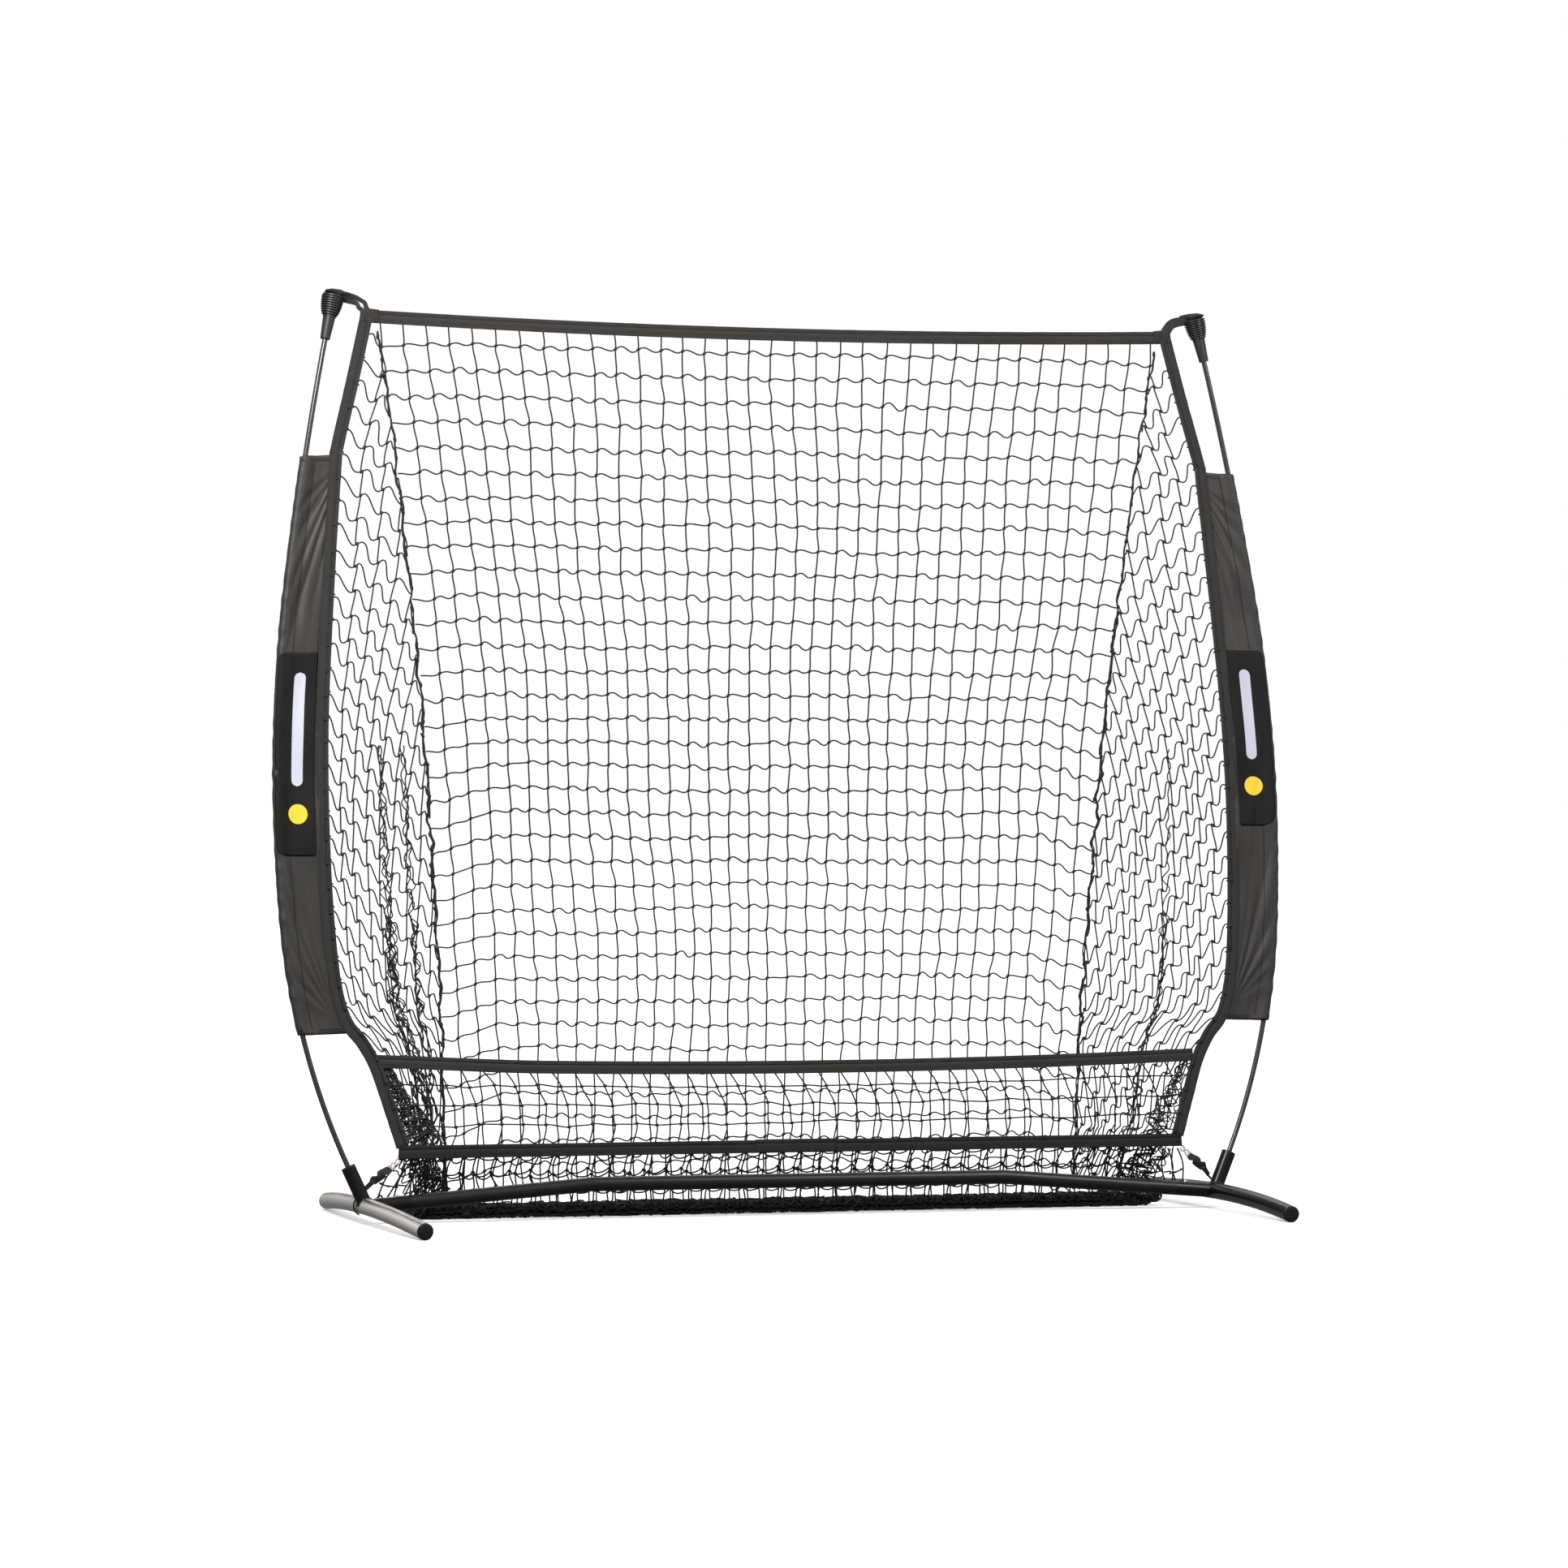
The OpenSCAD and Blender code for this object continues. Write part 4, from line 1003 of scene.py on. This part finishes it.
def flare():
    """Loose meshes that spill out past the bottom tape's corner, with a cut end."""
    corner = np.array([634, 12, 94]) * MM
    for name, side, reach in (("left", -1, 1.0), ("right", 1, 0.45)):
        ends = np.array([(668, 26, 36), (655, 34, 30), (640, 40, 28), (624, 46, 30)]) * MM
        ends = corner + (ends - corner) * np.array([reach, 1, 1])
        parts = []

        def add(steps, *points):
            parts.extend(tubes(mirrored(smooth_line(points, steps), side)[None], FRONT, TWINE_R * 1.1))

        for k, end in enumerate(ends):
            start = corner - np.array([8, 0, 0]) * MM * k
            add(10, start, (start + end) / 2 + np.array([5 * (-1) ** k, 0, 4]) * MM, end)
            if k:
                # a low and a high loop to the end before
                last = ends[k - 1]
                step = np.array([-6, -6, 24]) * MM
                add(8, last, (last + end) / 2 + np.array([0, 0, 8]) * MM, end)
                add(8, last + step, (last + end) / 2 + np.array([2, -2, 26]) * MM, end + step)
        parts += blobs(mirrored(ends, side), (0.4, 0, 1.0), FRONT, (7 * MM, 5 * MM, 5 * MM))
        knob = mirrored([ends[0] + np.array([1, -1, -2]) * MM], side)
        parts += blobs(knob, (0.1, 0, 1.0), FRONT, (9 * MM, 7 * MM, 6 * MM), 8, 6)
        piece(f"{name}_loose_mesh", parts, NETTING, ())


def ground_netting():
    """Netting heaped on the ground: a lumpy bed of crushed mesh with loops standing out of it."""
    low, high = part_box("floor_net")
    x = np.linspace(low.x + 2 * MM, high.x + 8 * MM, 520)
    turn = np.linspace(0, 2 * math.pi, 16, endpoint=False)
    grain = [ripple(np.stack([x, 0 * x], -1), *which) for which in ((0.012, 5), (0.04, 6))]
    grain = grain[0] * 0.55 + grain[1]
    end = smoothstep(0, 0.05, x - x[0]) * smoothstep(0, 0.10, x[-1] - x) * 0.45 + 0.55
    half = (high.y - low.y) / 2 - 3 * MM + 2 * MM * grain[:, None]
    top = (high.z - 4 * MM) * end + 1.6 * MM * grain
    y = (low.y + high.y) / 2 + half * np.sign(np.cos(turn)) * np.abs(np.cos(turn)) ** 0.7
    z = np.maximum(low.z + 0.2 * MM, low.z + top[:, None] * (0.5 + 0.5 * np.sin(turn)))
    bed, faces = loft(np.stack([np.broadcast_to(x[:, None], y.shape), y, z], -1))
    parts = [(bed, faces, np.zeros((sum(len(f) for f in faces), 2)))]
    # scalloped loops along the front and over the top
    made = np.random.default_rng(12)
    count = 300
    t = np.linspace(0, 1, 12)[None]
    foot = np.linspace(low.x + 6 * MM, high.x - 6 * MM, count)[:, None] + made.normal(
        scale=3 * MM, size=(count, 1))
    wide = made.uniform(5, 11, (count, 1)) * MM
    tall = made.uniform(0.7, 1.1, (count, 1)) * (high.z - 1 * MM)
    loops = np.stack([foot + wide * (t - 0.5) * 2 + made.normal(scale=2 * MM, size=(count, 1)) * t,
                      low.y + 2 * MM + made.uniform(0, 12, (count, 1)) * MM * np.sin(math.pi * t),
                      1.2 * MM + tall * np.sin(math.pi * t) ** 0.7], -1)
    parts += tubes(loops, FRONT, TWINE_R * 1.15)
    # loops that lie flat before it
    count = 110
    foot = np.linspace(low.x + 10 * MM, high.x - 30 * MM, count)[:, None] + made.normal(
        scale=4 * MM, size=(count, 1))
    wide = made.uniform(14, 30, (count, 1)) * MM
    loops = np.stack([foot + wide * t, low.y + 3 * MM - made.uniform(2, 8, (count, 1)) * MM * np.sin(
        math.pi * t) ** 0.8, 1.5 * MM + 3 * MM * made.uniform(0, 1, (count, 1)) + 0 * t], -1)
    parts += tubes(loops, (0, 0, 1.0), 1.35 * MM)
    parts += blobs([(-518 * MM, low.y - 3 * MM, 6 * MM)], (1.0, 0, 0.1), FRONT,
                   (17 * MM, 10 * MM, 8 * MM), 10, 8)
    for k, deep in enumerate((1, 3, 8, 16, 30, 48, 66, 84)):
        line = np.stack([x, low.y + deep * MM + 0 * x,
                         np.maximum(0.35 * top + 0.5 * top * (deep > 2), 4.2 * MM)], -1)
        parts += strands(line, (0, -0.4, 1.0), 3, np.array([7, 9, 7]) * MM, 5 * MM, TWINE_R * 1.15, 90,
                         100 + k, 700)
    piece("floor_net_heap", parts, SHADED_HEAP_TWINE, ["floor_net"])
    # small meshes at the heap's right end, which lift off the ground
    count = 46
    turn = np.linspace(0, 2 * math.pi, 14)[None]
    at = made.uniform(0.560, 0.628, (count, 1))
    size = made.uniform(5, 11, (count, 1)) * MM
    lift = np.interp(at, [0.56, 0.628], [7, 17]) * MM + made.uniform(-3, 5, (count, 1)) * MM
    rings = np.stack([at + size * np.cos(turn), low.y + made.uniform(2, 16, (count, 1)) * MM + 0 * turn,
                      np.maximum(lift + 0.7 * size * np.sin(turn), 1.4 * MM)], -1)
    piece("floor_net_end", tubes(rings, FRONT, 1.3 * MM), NETTING, ())


def loose_meshes():
    """Single meshes that lie over the heap on the ground and spill past its back edge and its ends."""
    low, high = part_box("floor_net")
    made = np.random.default_rng(33)
    count = 620
    turn = np.linspace(0, 2 * math.pi, 12)[None]
    x = made.uniform(low.x + 4 * MM, high.x - 4 * MM, (count, 1))
    y = high.y - (high.y - low.y - 22 * MM) * made.uniform(0, 1, (count, 1)) ** 1.5
    across = made.uniform(9, 17, (count, 1)) * MM * np.cos(turn)
    along = made.uniform(5, 11, (count, 1)) * MM * np.sin(turn)
    way = made.uniform(0, math.pi, (count, 1))
    tilt = made.uniform(-3, 3, (count, 1)) * MM * np.cos(turn)
    x = x + across * np.cos(way) - along * np.sin(way)
    y = y + across * np.sin(way) + along * np.cos(way)
    # how far inside the heap's edge each point is, as a share of the slope there
    inside = smoothstep(-8 * MM, 6 * MM, np.minimum(high.y - y, np.minimum(x - low.x, high.x - x)))
    z = np.maximum((high.z - 3 * MM) * inside + tilt, 1.4 * MM)
    piece("floor_net_meshes", tubes(np.stack([x, y, z], -1), np.array([0, 0.3, 1.0]), TWINE_R), SHADED_HEAP_TWINE, ())


# ------------------------------------------------------------------ corner loops and ties


def band(line, across, width, thick):
    """A soft flat strip along a line of points, as wide as given along across there."""
    along = unit(np.gradient(line, axis=0))
    across = np.broadcast_to(np.asarray(across, float), line.shape)
    across = unit(across - (across * along).sum(-1, keepdims=True) * along)
    out = np.cross(along, across)
    turn = np.linspace(0, 2 * math.pi, 14, endpoint=False)
    a, b = (np.sign(c) * np.abs(c) ** power / 2 for c, power in ((np.cos(turn), 0.35), (np.sin(turn), 0.55)))
    width, thick = (np.broadcast_to(np.asarray(q, float), (len(line),))[:, None] for q in (width, thick))
    pucker = 0.35 * MM * ripple(line, 0.012, 9)[:, None]
    return line[:, None] + across[:, None] * (width * a)[..., None] + out[:, None] * (
        thick * b + pucker * (b > 0))[..., None]


def corner_loops():
    """Webbing that runs on from each side tape, twists, and lies doubled over the tip cap."""
    tip = np.array(bow(BOW_LEN - 1.3 * MM))
    axis = unit(tip - np.array(bow(BOW_LEN - 11.3 * MM)))
    over = [tip + np.array([axis[1], -axis[0]]) * side_way * MM + axis * rise * MM
            for side_way, rise in ((-17, 3.2), (-8, 5.0), (4, 4.6), (14, 2.2))]
    corner = np.array([(661, 1366), (659, 1377), (663.5, 1387), (673, 1397)]) * MM
    corner[:, 1] = up(corner[:, 1])
    path = smooth_line(np.vstack([corner, over]), 10)
    t = np.linspace(0, 1, len(path))
    line = in_frame(path[:, 0], path[:, 1])
    along = unit(np.gradient(line, axis=0))
    flat = np.stack([along[:, 2], 0 * t, -along[:, 0]], -1)
    top = t > 0.52
    for name, side in SIDES:
        # where the webbing twists, and each band of it as its place across, widths and their stations
        if name == "left":
            start, stations, widths = 0.35, [0, 0.18, 0.38, 0.6, 1], [10, 8, 6.5, 10, 11]
        else:
            start, stations, widths = 0.50, [0, 0.2, 0.5, 0.7, 1], [20, 17, 15, 16, 18]
        twist = smoothstep(start, 0.75, t)[:, None] * math.pi / 2.6
        across = flat * np.cos(twist) - FRONT * np.sin(twist)
        wide = np.interp(t, stations, widths) * MM
        split = wide / 2 + bump(t, 0.34, 0.05) * 2.6 * MM
        bands = [band(line + across * (split * way)[:, None], across, wide, 2.4 * MM)
                 for way in ((-1, 1) if name == "left" else (0,))]
        # the second layer, padded, over the cap, and the crossed layers sewn at the corner
        bands.append(band(line[top] + np.array([0, 0, 0.8 * MM]), across[top], 17 * MM,
                          np.interp(t[top], [0.52, 0.7, 1], [3.0, 9.0, 4.0]) * MM))
        joint = in_frame(np.linspace(0.640, 0.668, 12), up(np.linspace(1.3745, 1.3765, 12)), -0.9 * MM)
        bands.append(band(joint, (0, 0, 1.0), np.interp(np.arange(12), [0, 6, 11], [20, 21, 16]) * MM,
                          1.8 * MM))
        piece(f"{name}_loop_webbing", [skin(b, side) for b in bands], WEBBING, [f"{name}_corner_loop"])
        at = np.array([(646, 1367), (650, 1376), (655, 1384), (662, 1368)]) * MM
        piece(f"{name}_corner_stitching",
              blobs(mirrored(in_frame(at[:, 0], up(at[:, 1]), -2 * MM), side),
                    mirrored([(0.2, 0, 1), (1, 0, -1), (1, 0, 1), (0.2, 0, 1)], side), FRONT,
                    (9 * MM, 1.6 * MM, 1 * MM)), THREAD, ())


def ties():
    """A short white elastic, its crumpled tab and the strap that ends in the wire hook."""
    for name, side in SIDES:
        boxes = {part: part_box(f"{name}_tie_{part}") for part in ("elastic", "tab", "hook")}

        def corner(part, far, z):
            """A point half-way through a part, at its side that is near or far from the middle."""
            low, high = boxes[part]
            return np.array([sorted((side * low.x, side * high.x))[far], (low.y + high.y) / 2, z])

        start = corner("elastic", 0, boxes["elastic"][1].z - 1 * MM)
        end = corner("tab", 1, boxes["tab"][0].z + 2 * MM)
        way = unit(end - start)
        wide = np.cross(way, FRONT)
        meet = start + way * 15 * MM
        parts = []
        for k in (-1, 1):
            t = np.linspace(-0.25, 1.1, 16)[:, None]
            line = start + (meet - start) * t + wide * (k * 2.4 + 1.1 * np.sin(9 * t + k)) * MM
            parts.append(skin(band(line, wide, 3.2 * MM, 1.8 * MM), side))
        crossing = meet + wide * np.linspace(-5.5, 5.5, 8)[:, None] * MM
        parts.append(skin(band(crossing, way, 3.0 * MM, 2.2 * MM), side))
        elastic = piece(f"{name}_elastic_loop", parts, ELASTIC, [f"{name}_tie_elastic"],
                        None)
        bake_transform(elastic)
        t = np.linspace(0, 1, 40)[:, None]
        line = meet + way * t * 37 * MM + wide * 1.3 * MM * np.sin(11 * t + 1)
        shape = np.interp(t[:, 0], [0, 0.12, 0.3, 0.45, 0.62, 0.85, 1], [6, 13, 11, 16, 12, 15, 6]) * MM
        spin = 0.5 * np.sin(7 * t)
        tab = band(line, wide * np.cos(spin) + FRONT * np.sin(spin), shape, 2.6 * MM)
        hook_top = corner("hook", 0, boxes["hook"][1].z)
        to_hook = (hook_top + way * 24 * MM - line[-1]) * np.linspace(0, 1, 20)[:, None]
        strap = band(line[-1] - way * 3 * MM + to_hook, wide, np.linspace(8, 6.5, 20) * MM, 2.2 * MM)
        for label, shape, nodes in (("tab_cloth", tab, [f"{name}_tie_tab"]), ("hook_strap", strap, ())):
            piece(f"{name}_{label}", [skin(shape, side)], WEBBING, nodes, f"{name}_tie")


def weld_beads():
    """The bead where each pole socket is welded to its foot tube."""
    d = unit(in_frame(math.sin(SOCKET_ANGLE), FOOT_MID_Z + math.cos(SOCKET_ANGLE))
             - np.array([0, 0, FOOT_MID_Z]))
    e1 = unit(np.cross(d, -FRONT))
    a = np.linspace(0, 2 * math.pi, 73)[:, None]
    ring = 11.2 * MM * (1 + 0.03 * np.sin(a * 24)) * (np.cos(a) * e1 + np.sin(a) * np.cross(d, e1))
    # how far each line of the socket runs before it meets the round of the foot tube
    k2 = d[0] ** 2 + d[2] ** 2
    k1 = ring[:, 0] * d[0] + ring[:, 2] * d[2]
    k0 = ring[:, 0] ** 2 + ring[:, 2] ** 2 - (FOOT_R + 0.5 * MM) ** 2
    reach = (-k1 + np.sqrt(np.maximum(k1**2 - k2 * k0, 0))) / k2
    bead = ring + reach[:, None] * d + np.array([FOOT_X, 0, FOOT_MID_Z])
    for name, side in SIDES:
        piece(f"{name}_socket_weld", tubes(mirrored(bead, side)[None], (0, 0, 1.0), 1.7 * MM, 8),
              POWDER, ())


# ------------------------------------------------------------------ camera and light


def camera():
    """The place and lens worked out for the view from the front left."""
    place = Vector((-3.4447, -9.6364, 0.8005))
    yaw, pitch, roll = (math.radians(a) for a in (19.506, 0.761, 0.444))
    ahead = Vector((math.sin(yaw) * math.cos(pitch), math.cos(yaw) * math.cos(pitch), -math.sin(pitch)))
    right = Vector((math.cos(yaw), -math.sin(yaw), 0))
    above = right.cross(ahead)
    x = math.cos(roll) * right + math.sin(roll) * above
    y = -math.sin(roll) * right + math.cos(roll) * above
    data = bpy.data.cameras.new("camera")
    data.lens, data.sensor_width = 152.76, 36
    data.clip_end = 60
    made = bpy.data.objects.new("camera", data)
    made.matrix_world = Matrix.Translation(place) @ Matrix((x, y, -ahead)).transposed().to_4x4()
    bpy.context.scene.collection.objects.link(made)
    bpy.context.scene.camera = made


def area_light(name, place, aim, size, power, colour=(1, 1, 1)):
    data = bpy.data.lights.new(name, "AREA")
    data.shape, data.size, data.size_y = "RECTANGLE", size[0], size[1]
    data.energy, data.color = power, colour
    made = bpy.data.objects.new(name, data)
    made.location = place
    made.rotation_euler = (Vector(aim) - Vector(place)).to_track_quat("-Z", "Y").to_euler()
    bpy.context.scene.collection.objects.link(made)


def studio():
    bpy.ops.mesh.primitive_plane_add(size=40)
    floor = bpy.context.object
    floor.name = "floor"
    floor.location.z = min(c.z for c in (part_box("floor_net")[0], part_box("right_front_end_cap")[0])) - 0.0002
    floor.data.materials.append(floor_paper())
    floor.visible_diffuse = floor.visible_glossy = False
    world = bpy.data.worlds.new("world")
    world.use_nodes = True
    nodes, link = world.node_tree.nodes, world.node_tree.links.new
    lit = nodes["Background"]
    above, where, spread, seen, both, ray = (nodes.new("ShaderNode" + kind) for kind in (
        "SeparateXYZ", "TexCoord", "MapRange", "Background", "MixShader", "LightPath"))
    # what lights the object is brighter above than below
    for socket, value in zip(("From Min", "From Max", "To Min", "To Max"), (-0.5, 0.6, 0.14, 0.55)):
        spread.inputs[socket].default_value = value
    for shade in (lit, seen):
        shade.inputs["Color"].default_value = (1, 1, 1, 1)
    link(where.outputs["Generated"], above.inputs[0])
    link(above.outputs["Z"], spread.inputs["Value"])
    link(spread.outputs["Result"], lit.inputs["Strength"])
    link(ray.outputs["Is Camera Ray"], both.inputs[0])
    link(lit.outputs[0], both.inputs[1])
    link(seen.outputs[0], both.inputs[2])
    link(both.outputs[0], nodes["World Output"].inputs["Surface"])
    bpy.context.scene.world = world
    bpy.context.scene.view_settings.view_transform = "Standard"
    warm = (1.0, 0.965, 0.93)
    area_light("key", (-1.7, -1.5, 2.5), (-0.2, 0, 1.1), (0.9, 0.9), 88, warm)
    area_light("fill", (1.7, -1.7, 2.5), (0.2, 0, 1.1), (1.2, 1.2), 42, warm)
    area_light("rim", (1.5, 4.0, 3.6), (0, 0, 0.9), (3.0, 1.6), 60, warm)


# ------------------------------------------------------------------ CAD nodes that stay

CAD_LOOKS = {
    "left_foot_tube": PLATE_PAINTED_REFLECTION,
    "right_foot_tube": STUB_COAT,
    "centre_snap_button": BUTTON,
}
for end, look in (("crossbar", POWDER), ("bar_stub", STUB_COAT), ("pole_socket", STUB_COAT),
                  ("front_end_cap", PLASTIC), ("rear_end_cap", PLASTIC), ("socket_bushing", PLASTIC),
                  ("snap_button", BUTTON), ("lower_pole", ROD), ("middle_pole", ROD), ("upper_pole", ROD),
                  ("pole_ferrules", FERRULE), ("shock_cord", SHOCK), ("tip_cap", CAP), ("tie_hook", WIRE)):
    CAD_LOOKS.update({f"{side}_{end}": look for side, _ in SIDES})


def dress_cad():
    for name, material in CAD_LOOKS.items():
        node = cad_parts[name]
        node.data.materials.clear()
        node.data.materials.append(material)


def button_springs():
    """The leaf spring under each snap button, as a copy of the part's own mesh."""
    for name, side in (("left", -1), ("centre", 0), ("right", 1)):
        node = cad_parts[f"{name}_button_spring"]
        points = np.array([v.co for v in node.data.vertices])
        faces = [list(f.vertices) for f in node.data.polygons]
        leaf = piece(f"{name}_spring_leaf", [(points, faces)], SPRING, [f"{name}_button_spring"],
                     smooth=False)
        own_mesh(leaf)


camera()
studio()
dress_cad()
button_springs()
back_netting()
side_netting()
corner_seams()
side_tapes()
cross_tapes()
sleeves()
patches()
lip_netting()
skirt_netting()
gathers()
flare()
ground_netting()
loose_meshes()
corner_loops()
ties()
weld_beads()
